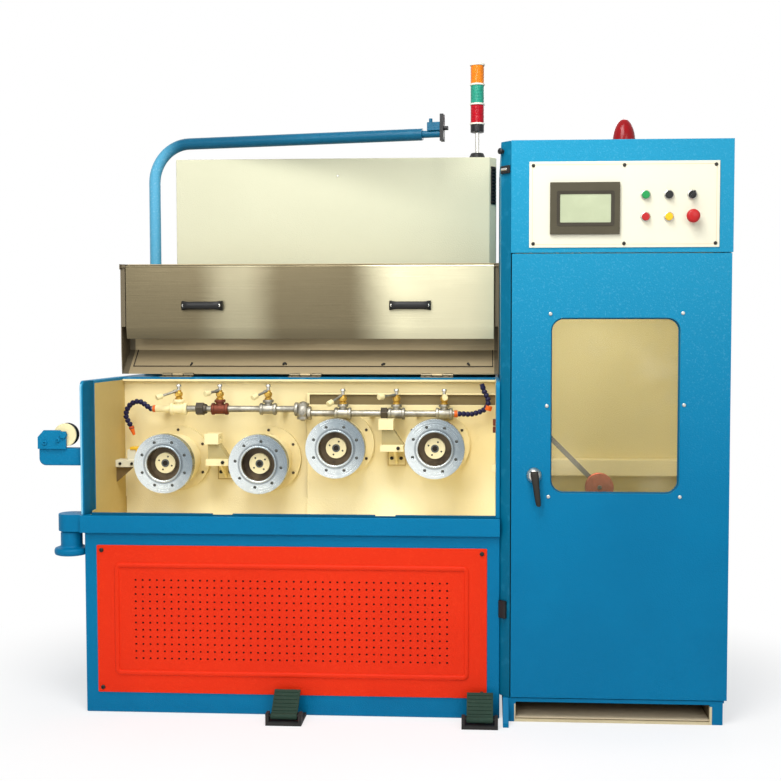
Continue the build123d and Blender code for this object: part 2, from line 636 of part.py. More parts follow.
for colour in ("red", "green", "amber"):
    rings.append(rod_z(tower_x, tower_y, lens_z, lens_z + RING_H, RING_R))
    lens_z += RING_H
    parts[f"tower_{colour}_lens"] = rod_z(tower_x, tower_y, lens_z, lens_z + LENS_H, LENS_R)
    lens_z += LENS_H
rings.append(rod_z(tower_x, tower_y, lens_z, lens_z + TOWER_CAP_H, RING_R))
parts["tower_rings"] = Compound(rings)

# Gooseneck pipe on the gearbox housing, left of the box, reaching right and a little forward
GOOSE_SETBACK = 30.0
GOOSE_RISE = 56.0
GOOSE_LEN_SHARE = 0.887
GOOSE_FOOT_R = 46.0
GOOSE_FOOT_T = 14.0
STUB_R = 12.0
STUB_LEN = 62.0
goose_x = BASE_X0 + BOX_START / 2
goose_y = box_y0 + GOOSE_SETBACK
goose_z = BOX_TOP + GOOSE_RISE
GOOSE_LEN = GOOSE_LEN_SHARE * (box_x1 - box_x0)
turn = math.radians(-GOOSE_TURN)
run_dir = Vector(math.cos(turn), math.sin(turn), 0)


def along(distance):
    """Point on the gooseneck's arm at a distance from its post."""
    return (goose_x + run_dir.X * distance, goose_y + run_dir.Y * distance, goose_z)


foot_top = (goose_x, goose_y, RIM_Z + GOOSE_FOOT_T)
post_top = (goose_x, goose_y, goose_z - GOOSE_BEND)
bend = TangentArc(post_top, along(GOOSE_BEND), tangent=(0, 0, 1))
goose_path = Wire([Line(foot_top, post_top), bend, Line(along(GOOSE_BEND), along(GOOSE_LEN))])
pipe = sweep(Plane(foot_top) * Circle(GOOSE_R), goose_path)
stub_line = Line(along(GOOSE_LEN), along(GOOSE_LEN + STUB_LEN))
pipe += sweep(Plane(along(GOOSE_LEN), z_dir=run_dir) * Circle(STUB_R), stub_line)
pipe += rod_z(goose_x, goose_y, RIM_Z, RIM_Z + GOOSE_FOOT_T, GOOSE_FOOT_R)

# Wire guide at the pipe's end: a forked plate with a bolt, and the bracket above the stub
GUIDE_T = 12.0
GUIDE_W = 28.0
GUIDE_H = 90.0
GUIDE_RISE = 20.0
FORK_W = 12.0
FORK_TOP = 28.0
FORK_LOW = 14.0
GUIDE_BOLT_R = 7.0
GUIDE_BOLT_L = 14.0
GUIDE_BOLT_Z = 18.0
CLAMP_L = 44.0
CLAMP_W = 30.0
CLAMP_H = 28.0
CLAMP_SINK = 2.0
CLAMP_BOLT_R = 6.0
CLAMP_BOLT_H = 14.0
CLAMP_BOLT_BACK = 34.0
guide_frame = Location(along(GOOSE_LEN + STUB_LEN), (0, 0, -GOOSE_TURN))
guide_top = GUIDE_RISE + GUIDE_H / 2
guide_low = GUIDE_RISE - GUIDE_H / 2
guide = box(0, GUIDE_T, -GUIDE_W / 2, GUIDE_W / 2, guide_low, guide_top)
guide -= box(0, GUIDE_T, -FORK_W / 2, FORK_W / 2, guide_top - FORK_TOP, guide_top)
guide -= box(0, GUIDE_T, -FORK_W / 2, FORK_W / 2, guide_low, guide_low + FORK_LOW)
guide += rod_x(GUIDE_T, GUIDE_T + GUIDE_BOLT_L, 0, GUIDE_BOLT_Z, GUIDE_BOLT_R)
parts["wire_guide"] = guide_frame * guide
clamp_z = STUB_R - CLAMP_SINK
clamp = box(-CLAMP_L, 0, -CLAMP_W / 2, CLAMP_W / 2, clamp_z, clamp_z + CLAMP_H)
clamp += rod_z(-CLAMP_BOLT_BACK, 0, clamp_z + CLAMP_H, clamp_z + CLAMP_H + CLAMP_BOLT_H, CLAMP_BOLT_R)
parts["gooseneck_pipe"] = pipe + guide_frame * clamp

# Inlet arm on the tub's left wall, with a roller behind its plate
ARM_H = 56.0
ARM_LIFT = 7.0
ARM_D = 40.0
ARM_SETBACK = 24.0
ARM_CORNER_R = 22.0
INLET_PLATE_W = 92.0
INLET_PLATE_T = 8.0
INLET_PLATE_LAP = 2.0
INLET_PLATE_H = 58.0
INLET_PLATE_CUT = (20.0, 22.0)
CHEEK_W = 52.0
CHEEK_DROP = 16.0
CHEEK_RISE = 12.0
ROLLER_R = 37.0
ROLLER_W = 30.0
ROLLER_PIN_R = 8.0
ROLLER_PIN_END = 8.0
ROLLER_GAP = 6.0
ROLLER_IN = 8.0
ROLLER_LIFT = 42.0
ROLLER_GROOVE_R = 9.0
ROLLER_GROOVE_OUT = 2.0
arm_x0 = BASE_X0 - ARM_REACH
arm_y0 = FRONT + ARM_SETBACK
arm_z0 = capstan_xz[0][1] + ARM_LIFT
arm_z1 = arm_z0 + ARM_H
inlet_arm = box(arm_x0, TUB_X0, arm_y0, arm_y0 + ARM_D, arm_z0, arm_z1)
inlet_arm = fillet(inlet_arm.edges().filter_by(Axis.Y).group_by(Axis.X)[0].sort_by(Axis.Z)[0], ARM_CORNER_R)
parts["inlet_arm"] = inlet_arm
inlet_plate_x1 = arm_x0 + INLET_PLATE_W
inlet_plate_z1 = arm_z1 + INLET_PLATE_H
cut_x, cut_z = INLET_PLATE_CUT
inlet_plate = prism_y([(arm_x0, arm_z1 - INLET_PLATE_LAP), (inlet_plate_x1, arm_z1 - INLET_PLATE_LAP),
                       (inlet_plate_x1, inlet_plate_z1 - cut_z), (inlet_plate_x1 - cut_x, inlet_plate_z1),
                       (arm_x0 + cut_x, inlet_plate_z1), (arm_x0, inlet_plate_z1 - cut_z)],
                      arm_y0 - INLET_PLATE_T, arm_y0)
roller_x = inlet_plate_x1 - ROLLER_IN
roller_z = arm_z1 + ROLLER_LIFT
roller_y0 = arm_y0 + ROLLER_GAP
roller_y1 = roller_y0 + ROLLER_W
inlet_plate += box(inlet_plate_x1 - CHEEK_W, inlet_plate_x1, arm_y0 - INLET_PLATE_T, arm_y0,
                   roller_z - CHEEK_DROP,
                   roller_z + CHEEK_RISE)
inlet_plate += rod_y(roller_x, arm_y0, roller_y1 + ROLLER_PIN_END, roller_z, ROLLER_PIN_R)
parts["inlet_plate"] = inlet_plate
roller = rod_y(roller_x, roller_y0, roller_y1, roller_z, ROLLER_R)
roller -= Pos(roller_x, (roller_y0 + roller_y1) / 2, roller_z) * Rot(90, 0,
                                                                     0) * Torus(ROLLER_R + ROLLER_GROOVE_OUT,
                                                                                      ROLLER_GROOVE_R)
roller -= rod_y(roller_x, roller_y0, roller_y1, roller_z, ROLLER_PIN_R + PIN_CLEARANCE)
parts["inlet_roller"] = roller

# Cabinet: hollow, on a plinth that is open in front, with a small gusset foot at its left corner
LEDGE_D = 60.0
LEDGE_H_SHARE = 0.045
LEDGE_Z_SHARE = 0.4365
FOOT_REACH = 60.0
FOOT_T = 18.0
FOOT_TOE_H = 14.0
cab_in_x0 = CAB_X0 + CAB_WALL
cab_in_x1 = CAB_X1 - CAB_WALL
cab_in_y1 = BACK - CAB_WALL
frame_y = CAB_Y + DOOR_T + DOOR_SWING_GAP
head_y1 = frame_y + CAB_WALL
post_x = CAB_X0 + CAB_CHAMFER
pin_hole_r = DOOR_PIN_R + PIN_CLEARANCE
pin_hole_l = DOOR_PIN_L + DOOR_GAP
parts["cabinet_left_side"] = prism_z([(CAB_X0, BACK), (CAB_X0, CAB_Y + CAB_CHAMFER), (post_x, CAB_Y),
                                      (post_x, head_y1),
                                      (cab_in_x0, head_y1), (cab_in_x0, BACK)], PLINTH_H, CAB_H)
parts["cabinet_right_side"] = box(cab_in_x1, CAB_X1, frame_y, BACK, PLINTH_H, CAB_H)
parts["cabinet_back"] = box(cab_in_x0, cab_in_x1, cab_in_y1, BACK, PLINTH_H, CAB_H)
head = box(post_x, cab_in_x1, CAB_Y, head_y1, HEAD_Z, CAB_H) + box(cab_in_x1, CAB_X1, CAB_Y, frame_y, HEAD_Z,
                                                                   CAB_H)
parts["control_head"] = head - rod_z(DOOR_AXIS_X, DOOR_AXIS_Y, HEAD_Z, HEAD_Z + pin_hole_l, pin_hole_r)
parts["cabinet_top"] = box(cab_in_x0, cab_in_x1, head_y1, cab_in_y1, CAB_H - CAB_WALL, CAB_H)
parts["cabinet_floor"] = box(cab_in_x0, cab_in_x1, head_y1, cab_in_y1, PLINTH_H, PLINTH_H + CAB_WALL)
ledge_z = door_z(LEDGE_Z_SHARE)
parts["cabinet_ledge"] = box(cab_in_x0, cab_in_x1, cab_in_y1 - LEDGE_D, cab_in_y1, ledge_z,
                             ledge_z + LEDGE_H_SHARE * DOOR_H)
plinth_x0 = CAB_X0 + PLINTH_SIDE_GAP[0]
plinth_x1 = CAB_X1 - PLINTH_SIDE_GAP[1]
plinth_y0 = CAB_Y + PLINTH_FRONT_GAP
plinth = box(plinth_x0, plinth_x1, plinth_y0, BACK, 0, PLINTH_H)
plinth -= box(plinth_x0 + PLINTH_LEG_W, plinth_x1 - PLINTH_LEG_W, plinth_y0, BACK - PLINTH_LEG_W,
              PLINTH_RAIL_H,
              PLINTH_H - PLINTH_TOP_T)
plinth += prism_x([(plinth_y0, 0), (plinth_y0, PLINTH_H), (plinth_y0 - FOOT_REACH, FOOT_TOE_H),
                   (plinth_y0 - FOOT_REACH, 0)],
                  plinth_x0, plinth_x0 + FOOT_T)
plinth -= rod_z(DOOR_AXIS_X, DOOR_AXIS_Y, PLINTH_H - pin_hole_l, PLINTH_H, pin_hole_r)
parts["plinth"] = plinth

# Warning lamp: a dome on the cabinet's top
LAMP_R = 36.0
LAMP_H = 108.0
LAMP_X_SHARE = 0.568
LAMP_SETBACK = 250.0
LAMP_DOME_SHARE = 0.7
lamp = rod_z(CAB_X0 + LAMP_X_SHARE * CAB_W, CAB_Y + LAMP_SETBACK, CAB_H, CAB_H + LAMP_H, LAMP_R)
parts["warning_lamp"] = fillet(lamp.edges().group_by(Axis.Z)[-1], LAMP_DOME_SHARE * LAMP_R)

# Control plate, operator panel and the push-buttons; places are shares of the plate
PLATE_T = 3.0
PLATE_SIDE_GAP = (55.0, 43.0)
PLATE_LOW_GAP = 15.0
PLATE_TOP_GAP = 66.0
OPERATOR_X_SHARE = (0.1096, 0.4765)
OPERATOR_Z_SHARE = (0.1533, 0.7548)
OPERATOR_T = 10.0
SCREEN_SIDE = (30.0, 27.0)
SCREEN_LOW = 35.0
SCREEN_TOP = 36.0
SCREEN_SINK = 2.0
BUTTON_X_SHARE = (0.6122, 0.7339, 0.8557)
BUTTON_Z_SHARE = (0.6054, 0.3525)
BEZEL_R = 15.0
BEZEL_T = 4.0
BUTTON_R = 11.5
BUTTON_RISE = 10.0
SELECTOR_W = 8.0
SELECTOR_RISE = 10.0
STOP_STEM_R = 10.0
STOP_STEM_L = 18.0
STOP_R = 20.0
STOP_T = 12.0
plate_x0 = post_x + PLATE_SIDE_GAP[0]
plate_x1 = CAB_X1 - PLATE_SIDE_GAP[1]
plate_z0 = HEAD_Z + PLATE_LOW_GAP
plate_z1 = CAB_H - PLATE_TOP_GAP
plate_face = CAB_Y - PLATE_T
plate_w = plate_x1 - plate_x0
plate_h = plate_z1 - plate_z0
parts["control_plate"] = box(plate_x0, plate_x1, plate_face, CAB_Y, plate_z0, plate_z1)
op_x0, op_x1 = [plate_x0 + share * plate_w for share in OPERATOR_X_SHARE]
op_z0, op_z1 = [plate_z0 + share * plate_h for share in OPERATOR_Z_SHARE]
op_face = plate_face - OPERATOR_T
operator = box(op_x0, op_x1, op_face, plate_face, op_z0, op_z1)
operator -= box(op_x0 + SCREEN_SIDE[0], op_x1 - SCREEN_SIDE[1], op_face, op_face + SCREEN_SINK,
                op_z0 + SCREEN_LOW,
                op_z1 - SCREEN_TOP)
parts["operator_panel"] = operator
bezel_face = plate_face - BEZEL_T
caps = []
for column, x_share in enumerate(BUTTON_X_SHARE):
    for row, z_share in enumerate(BUTTON_Z_SHARE):
        bx = plate_x0 + x_share * plate_w
        bz = plate_z0 + z_share * plate_h
        cap = rod_y(bx, bezel_face, plate_face, bz, BEZEL_R)
        if (column, row) == (2, 1):
            cap += rod_y(bx, bezel_face - STOP_STEM_L, bezel_face, bz, STOP_STEM_R)
            cap += rod_y(bx, bezel_face - STOP_STEM_L - STOP_T, bezel_face - STOP_STEM_L, bz, STOP_R)
        else:
            cap += rod_y(bx, bezel_face - BUTTON_RISE, bezel_face, bz, BUTTON_R)
        if (column, row) == (2, 0):
            knob_y = bezel_face - BUTTON_RISE
            cap += box(bx - SELECTOR_W / 2, bx + SELECTOR_W / 2, knob_y - SELECTOR_RISE, knob_y,
                       bz - BUTTON_R, bz + BUTTON_R)
        caps.append(cap)
parts["control_buttons"] = Compound(caps)

# Door with its window, pivot pins and lock
LOCK_X_SHARE = 0.105
LOCK_Z_SHARE = 0.5054
LOCK_PIN_R = 8.0
LOCK_PIN_L = 13.0
LOCK_PIN_END_GAP = 1.0
LOCK_FACE_GAP = 0.5
ROSE_R = 24.0
ROSE_T = 14.0
LOCK_LEVER_W = 24.0
LOCK_LEVER_T = 16.0
LOCK_LEVER_L = 110.0
LOCK_LEVER_RISE = 14.0
LOCK_LEVER_LEFT = 10.0
window_w = WINDOW_W_SHARE * DOOR_W
window_h = WINDOW_H_SHARE * DOOR_H
window_x0 = DOOR_X0 + WINDOW_X_SHARE * DOOR_W
window_z = door_z(WINDOW_Z_SHARE)
window_cut = extrude(RectangleRounded(window_w, window_h, WINDOW_R), DOOR_T * 2, both=True)
door_back = CAB_Y + DOOR_T
door = box(DOOR_X0, DOOR_X1, CAB_Y, door_back, DOOR_Z0, DOOR_Z1)
door -= Pos(window_x0 + window_w / 2, CAB_Y, window_z) * Rot(90, 0, 0) * window_cut
door += rod_z(DOOR_AXIS_X, DOOR_AXIS_Y, DOOR_Z0 - DOOR_PIN_L, DOOR_Z0, DOOR_PIN_R)
door += rod_z(DOOR_AXIS_X, DOOR_AXIS_Y, DOOR_Z1, DOOR_Z1 + DOOR_PIN_L, DOOR_PIN_R)
lock_x = DOOR_X0 + LOCK_X_SHARE * DOOR_W
lock_z = door_z(LOCK_Z_SHARE)
door -= rod_y(lock_x, CAB_Y, CAB_Y + LOCK_PIN_L + LOCK_PIN_END_GAP, lock_z, LOCK_PIN_R + PIN_CLEARANCE)
parts["door_panel"] = door
parts["door_glass"] = box(window_x0 - GLASS_LAP, window_x0 + window_w + GLASS_LAP, door_back,
                          door_back + GLASS_T,
                          window_z - window_h / 2 - GLASS_LAP, window_z + window_h / 2 + GLASS_LAP)
rose_face = CAB_Y - ROSE_T
lever_x0 = lock_x - LOCK_LEVER_LEFT
lever_z1 = lock_z + LOCK_LEVER_RISE
lock = rod_y(lock_x, rose_face, CAB_Y - LOCK_FACE_GAP, lock_z, ROSE_R)
lock += rod_y(lock_x, CAB_Y - LOCK_FACE_GAP, CAB_Y + LOCK_PIN_L, lock_z, LOCK_PIN_R)
lock += box(lever_x0, lever_x0 + LOCK_LEVER_W, rose_face - LOCK_LEVER_T, rose_face, lever_z1 - LOCK_LEVER_L,
            lever_z1)
parts["door_lock"] = lock

# Dancer: an arm on a pivot bracket inside the cabinet, with its pulley
DANCER_L = 330.0
DANCER_ANGLE = 45.0
DANCER_SETBACK = 220.0
DANCER_X_GAP = 72.0
DANCER_Z_SHARE = 0.6287
DANCER_PIN_R = 10.0
DANCER_PIN_END = 14.0
DANCER_BAR_W = 14.0
DANCER_BAR_H = 16.0
DANCER_BAR_END = 20.0
DANCER_EYE_R = 24.0
DANCER_EYE_W = 20.0
DANCER_TIP_R = 20.0
BRACKET_ARM_H = 48.0
BRACKET_ARM_T = 30.0
BRACKET_ARM_GAP = 10.0
PULLEY_R = 46.0
PULLEY_W = 24.0
PULLEY_GAP = 7.0
PULLEY_PIN_R = 7.0
PULLEY_PIN_END = 6.0
PULLEY_GROOVE_R = 9.0
PULLEY_GROOVE_OUT = 2.0
dancer_y = FRONT + DANCER_SETBACK
pivot_x = cab_in_x0 + DANCER_X_GAP
pivot_z = door_z(DANCER_Z_SHARE)
bracket_y0 = dancer_y + DANCER_EYE_W / 2 + BRACKET_ARM_GAP
dancer_bracket = box(cab_in_x0, pivot_x + BRACKET_ARM_H / 2, bracket_y0, bracket_y0 + BRACKET_ARM_T,
                     pivot_z - BRACKET_ARM_H / 2, pivot_z + BRACKET_ARM_H / 2)
dancer_bracket += rod_y(pivot_x, dancer_y - DANCER_PIN_END, bracket_y0, pivot_z, DANCER_PIN_R)
parts["dancer_bracket"] = dancer_bracket
slope = math.radians(DANCER_ANGLE)
tip_x = pivot_x + DANCER_L * math.cos(slope)
tip_z = pivot_z - DANCER_L * math.sin(slope)
arm_back = dancer_y + DANCER_BAR_W / 2
arm_face = dancer_y - DANCER_BAR_W / 2
pulley_y1 = arm_face - PULLEY_GAP
pulley_y0 = pulley_y1 - PULLEY_W
bar = Pos(DANCER_L / 2, 0, 0) * Box(DANCER_L - 2 * DANCER_BAR_END, DANCER_BAR_W, DANCER_BAR_H)
dancer_arm = Pos(pivot_x, dancer_y, pivot_z) * Rot(0, DANCER_ANGLE, 0) * bar
dancer_arm += rod_y(pivot_x, dancer_y - DANCER_EYE_W / 2, dancer_y + DANCER_EYE_W / 2, pivot_z, DANCER_EYE_R)
dancer_arm += rod_y(tip_x, arm_face, arm_back, tip_z, DANCER_TIP_R)
dancer_arm += rod_y(tip_x, pulley_y0 - PULLEY_PIN_END, arm_face, tip_z, PULLEY_PIN_R)
dancer_arm -= rod_y(pivot_x, dancer_y - DANCER_EYE_W, dancer_y + DANCER_EYE_W, pivot_z,
                    DANCER_PIN_R + PIN_CLEARANCE)
parts["dancer_arm"] = dancer_arm
pulley = rod_y(tip_x, pulley_y0, pulley_y1, tip_z, PULLEY_R)
pulley -= Pos(tip_x, (pulley_y0 + pulley_y1) / 2, tip_z) * Rot(90, 0, 0) * Torus(PULLEY_R + PULLEY_GROOVE_OUT,
                                                                               PULLEY_GROOVE_R)
pulley -= rod_y(tip_x, pulley_y0, pulley_y1, tip_z, PULLEY_PIN_R + PIN_CLEARANCE)
parts["dancer_pulley"] = pulley

# Foot pedals: a base against the housing, with a ribbed treadle on a cross pin at its heel
PEDAL_X_SHARE = 0.495
PEDAL_END_GAP = 5.0
PEDAL_W = 112.0
PEDAL_BASE_T = 10.0
PEDAL_CHEEK_T = 10.0
PEDAL_CHEEK_D = 30.0
PEDAL_CHEEK_RISE = 12.0
PEDAL_PIN_R = 5.0
PEDAL_PIN_Z = 26.0
PEDAL_PIN_SETBACK = 16.0
PEDAL_PIN_END_GAP = 2.0
TREADLE_W = 82.0
TREADLE_L = 92.0
TREADLE_T = 9.0
TREADLE_EYE_T = 5.0
TREADLE_RIBS = 6
TREADLE_SLOPE = 42.0
RIB_START = 18.0
RIB_PITCH = 13.0
RIB_W = 5.0
RIB_H = 3.0
RIB_END_GAP = 4.0
pedal_x = (BASE_X0 + PEDAL_X_SHARE * BASE_W, BASE_X1 - PEDAL_END_GAP - PEDAL_W / 2)
pedal_y0 = FRONT - PEDAL_REACH
pin_y = pedal_y0 + PEDAL_PIN_SETBACK
bases = []
for k, px in enumerate(pedal_x):
    left = px - PEDAL_W / 2
    right = px + PEDAL_W / 2
    pedal_base = box(left, right, pedal_y0, FRONT, 0, PEDAL_BASE_T)
    for cheek_x0, cheek_x1 in ((left, left + PEDAL_CHEEK_T), (right - PEDAL_CHEEK_T, right)):
        pedal_base += box(cheek_x0, cheek_x1, pedal_y0, pedal_y0 + PEDAL_CHEEK_D, PEDAL_BASE_T,
                          PEDAL_PIN_Z + PEDAL_CHEEK_RISE)
    bases.append(pedal_base + rod_x(left + PEDAL_PIN_END_GAP, right - PEDAL_PIN_END_GAP, pin_y, PEDAL_PIN_Z,
                                    PEDAL_PIN_R))
    tread = box(-TREADLE_W / 2, TREADLE_W / 2, 0, TREADLE_L, -TREADLE_T / 2, TREADLE_T / 2)
    for r in range(TREADLE_RIBS):
        rib_y = RIB_START + RIB_PITCH * r
        tread += box(RIB_END_GAP - TREADLE_W / 2, TREADLE_W / 2 - RIB_END_GAP, rib_y - RIB_W / 2,
                     rib_y + RIB_W / 2,
                     TREADLE_T / 2, TREADLE_T / 2 + RIB_H)
    tread += rod_x(-TREADLE_W / 2, TREADLE_W / 2, 0, 0, PEDAL_PIN_R + TREADLE_EYE_T)
    tread -= rod_x(-TREADLE_W / 2, TREADLE_W / 2, 0, 0, PEDAL_PIN_R + PIN_CLEARANCE)
    parts[f"pedal_treadle_{k + 1}"] = Pos(px, pin_y, PEDAL_PIN_Z) * Rot(TREADLE_SLOPE, 0, 0) * tread
parts["pedal_bases"] = Compound(bases)

os.makedirs("parts", exist_ok=True)
for name, shape in parts.items():
    export_step(shape, f"parts/{name}.step")
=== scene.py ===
# %% [markdown]
# # Wire drawing machine: dressing the frame
# A steel bench with four capstans in a lidded tub, and a spooler cabinet beside it. The solids come from
# the CAD model; this lesson gives them soft edges, real fittings and real finishes, then lights them.

import math

import bmesh
import bpy
from mathutils import Matrix, Vector


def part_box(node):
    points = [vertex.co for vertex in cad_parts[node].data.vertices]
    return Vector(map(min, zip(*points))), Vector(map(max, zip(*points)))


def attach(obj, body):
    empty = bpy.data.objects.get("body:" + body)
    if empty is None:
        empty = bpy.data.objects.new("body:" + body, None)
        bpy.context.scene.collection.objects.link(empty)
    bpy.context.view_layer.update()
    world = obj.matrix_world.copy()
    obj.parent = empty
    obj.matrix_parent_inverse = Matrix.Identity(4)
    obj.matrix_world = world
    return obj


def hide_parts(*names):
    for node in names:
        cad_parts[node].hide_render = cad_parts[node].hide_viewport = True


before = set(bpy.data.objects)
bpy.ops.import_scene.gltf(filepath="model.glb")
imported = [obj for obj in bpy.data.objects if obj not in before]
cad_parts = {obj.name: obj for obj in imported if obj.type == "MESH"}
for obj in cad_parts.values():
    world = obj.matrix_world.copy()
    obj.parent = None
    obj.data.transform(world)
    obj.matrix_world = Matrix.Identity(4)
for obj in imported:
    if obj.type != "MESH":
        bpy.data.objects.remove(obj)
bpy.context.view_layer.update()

# %% [markdown]
# ## A node graph as Python
# Materials and Geometry Nodes are both graphs of nodes and sockets. Wiring them by hand takes many lines,
# so one class adds any node, and a second one wraps a socket so that ordinary maths adds Math nodes.


# %% Sockets with operators
class Value:
    """A node's output, usable in expressions."""

    def __init__(self, graph, socket):
        self.graph = graph
        self.socket = socket

    def maths(self, operation, first, second=0.0):
        return self.graph.node("ShaderNodeMath", {"operation": operation}, {0: first, 1: second})

    def __add__(self, other):
        return self.maths("ADD", self, other)

    __radd__ = __add__

    def __sub__(self, other):
        return self.maths("SUBTRACT", self, other)

    def __rsub__(self, other):
        return self.maths("SUBTRACT", other, self)

    def __mul__(self, other):
        return self.maths("MULTIPLY", self, other)

    __rmul__ = __mul__

    def __gt__(self, other):
        return self.maths("GREATER_THAN", self, other)

    def __lt__(self, other):
        return self.maths("LESS_THAN", self, other)

    def root(self):
        return self.maths("SQRT", self)

    def output(self, name):
        return Value(self.graph, self.socket.node.outputs[name])


class Graph:
    """A node tree that grows by one method."""

    def __init__(self, tree):
        self.tree = tree

    def node(self, kind, settings=None, sockets=None, out=0):
        made = self.tree.nodes.new(kind)
        for key, setting in (settings or {}).items():
            setattr(made, key, setting)
        for key, value in (sockets or {}).items():
            if isinstance(value, Value):
                self.tree.links.new(value.socket, made.inputs[key])
            else:
                made.inputs[key].default_value = value
        return Value(self, made.outputs[out]) if len(made.outputs) else None


print("graph helpers ready")

# %% [markdown]
# ## The paint shop
# A finish is one Principled shader with a few textures in front of it. All pieces sit at the origin, so
# Object coordinates are metres on the real machine, and a noise scale of 300 gives spots of about 3 mm.


# %% Finishes
def srgb(red, green, blue):
    """A linear colour from screen values between 0 and 255."""
    linear = []
    for part in (red, green, blue):
        share = part / 255
        linear.append(share / 12.92 if share <= 0.04045 else ((share + 0.055) / 1.055) ** 2.4)
    return (*linear, 1.0)


class Finish(Graph):
    """A material that is being mixed."""

    def __init__(self, name, **constants):
        self.material = bpy.data.materials.new(name)
        self.material.use_nodes = True
        super().__init__(self.material.node_tree)
        self.shader = self.tree.nodes["Principled BSDF"]
        for key, value in constants.items():
            self.shader.inputs[key.replace("_", " ")].default_value = value
        self.place = self.node("ShaderNodeTexCoord", out="Object")
        axes = self.node("ShaderNodeSeparateXYZ", None, {0: self.place})
        self.x = axes.output("X")
        self.y = axes.output("Y")
        self.z = axes.output("Z")

    def noise(self, scale, detail=3.0, stretch=None):
        where = self.place
        if stretch:
            where = self.node("ShaderNodeMapping", None, {"Vector": self.place, "Scale": stretch})
        return self.node("ShaderNodeTexNoise", None, {"Vector": where, "Scale": scale, "Detail": detail})

    def ramp(self, value, low, high):
        """0 below low, 1 above high, smooth between."""
        sockets = {"Value": value, "From Min": low, "From Max": high}
        return self.node("ShaderNodeMapRange", {"interpolation_type": "SMOOTHSTEP"}, sockets)

    def mix(self, share, first, second):
        return self.node("ShaderNodeMix", {"data_type": "RGBA"}, {0: share, 6: first, 7: second}, out=2)

    def radius(self, centre):
        """Distance from an axis along Y through the centre."""
        across = self.x - centre.x
        upward = self.z - centre.z
        return (across * across + upward * upward).root()

    def feed(self, **links):
        for key, value in links.items():
            self.tree.links.new(value.socket, self.shader.inputs[key.replace("_", " ")])
        return self

    def bump(self, height, distance, strength=1.0):
        sockets = {"Height": height, "Distance": distance, "Strength": strength}
        return self.feed(Normal=self.node("ShaderNodeBump", None, sockets))


# Painted top light on the blue: the first three constants set a lighter tint high up, and the high fleck
# share sets light flecks there that are painted glints.
TOP_LIGHT_LOW = 0.55
TOP_LIGHT_HIGH = 1.8
TOP_LIGHT_SHARE = 0.7
FLECK_SHARE = 0.16
HIGH_GLINT_SHARE = 0.2
CLOUD_SHARE = 0.35
SPLASH_SHARE = 0.3
INSIDE_FLECKS = 60.0
CREAM_FLECKS = 60.0
CREAM_ROUGHNESS = 0.45
ENAMEL_GLOSS = 0.1
PATCH_SCALE = 38.0
PEEL_SCALE = 260.0


def coat_colour(finish, colour, fleck, shade, fleck_scale, top_light=None):
    """Sprayed colour with flecks, cloudy patches, dirt low down and, if given, painted top light: a lighter
    tint and painted glint flecks high up.
    """
    flecks = finish.ramp(finish.noise(fleck_scale, 2.0), 0.54, 0.72)
    clouds = finish.ramp(finish.noise(2.2, 4.0), 0.35, 0.7)
    top_lit = finish.ramp(finish.z, TOP_LIGHT_LOW, TOP_LIGHT_HIGH)
    mixed = finish.mix(flecks * (top_lit * HIGH_GLINT_SHARE if top_light else FLECK_SHARE), colour, fleck)
    mixed = finish.mix(clouds * CLOUD_SHARE, mixed, shade)
    if top_light:
        mixed = finish.mix(top_lit * TOP_LIGHT_SHARE, mixed, top_light)
    splash = finish.ramp(finish.noise(9.0, 6.0) * 0.22 - finish.z, 0.0, 0.1)
    return finish.mix(splash * SPLASH_SHARE, mixed, shade)


def enamel(finish, colour, roughness, peel):
    """Gives a colour the uneven gloss and orange peel of sprayed enamel."""
    finish.feed(Base_Color=colour, Roughness=finish.noise(PATCH_SCALE) * 0.16 + roughness)
    return finish.bump(finish.noise(PEEL_SCALE, 2.0), peel).material


def sprayed_paint(name, colours, fleck_scale=190.0, roughness=0.4, peel=0.0009, inside=None, mask=None,
                  gloss=ENAMEL_GLOSS):
    """Enamel with orange peel; where the mask is 1, the inside colours show."""
    finish = Finish(name, Specular_IOR_Level=gloss)
    colour = coat_colour(finish, *colours[:3], fleck_scale, *colours[3:])
    if mask:
        within = coat_colour(finish, *inside[:3], INSIDE_FLECKS, *inside[3:])
        colour = finish.mix(mask(finish), colour, within)
    return enamel(finish, colour, roughness - 0.08, peel)


# Blue: its light second colour makes painted glint flecks high up, and its fourth colour is the painted top
# light.
BLUE = (srgb(0, 112, 156), srgb(150, 214, 238), srgb(0, 94, 136), srgb(38, 148, 182))
# This blue is painted shade on the cabinet's left chamfer.
CHAMFER_SHADE_BLUE = (srgb(0, 100, 132), srgb(60, 156, 190), srgb(0, 84, 114))
# This teal is painted shade on the front post's return; the front lip and the window seal are this colour
# too.
POST_TEAL = (srgb(8, 88, 118), srgb(16, 104, 136), srgb(6, 74, 100))
PAN_SHEET = (srgb(206, 192, 164), srgb(220, 208, 184), srgb(184, 168, 140))
# The gooseneck's lit and shaded paints: painted light on the upright, painted shade on the run.
PIPE_LIT_BLUE = (srgb(84, 160, 192), srgb(196, 228, 238), srgb(52, 136, 172))
PIPE_SHADE = (srgb(0, 86, 116), srgb(30, 124, 154), srgb(0, 66, 92))
GLINT_BLUE = (srgb(126, 192, 218), srgb(206, 232, 240), srgb(70, 160, 198))
# This cream is lighter than the paint: painted light low in the tub.
BRIGHTENED_CREAM = (srgb(254, 247, 214), srgb(255, 250, 226), srgb(244, 228, 180))
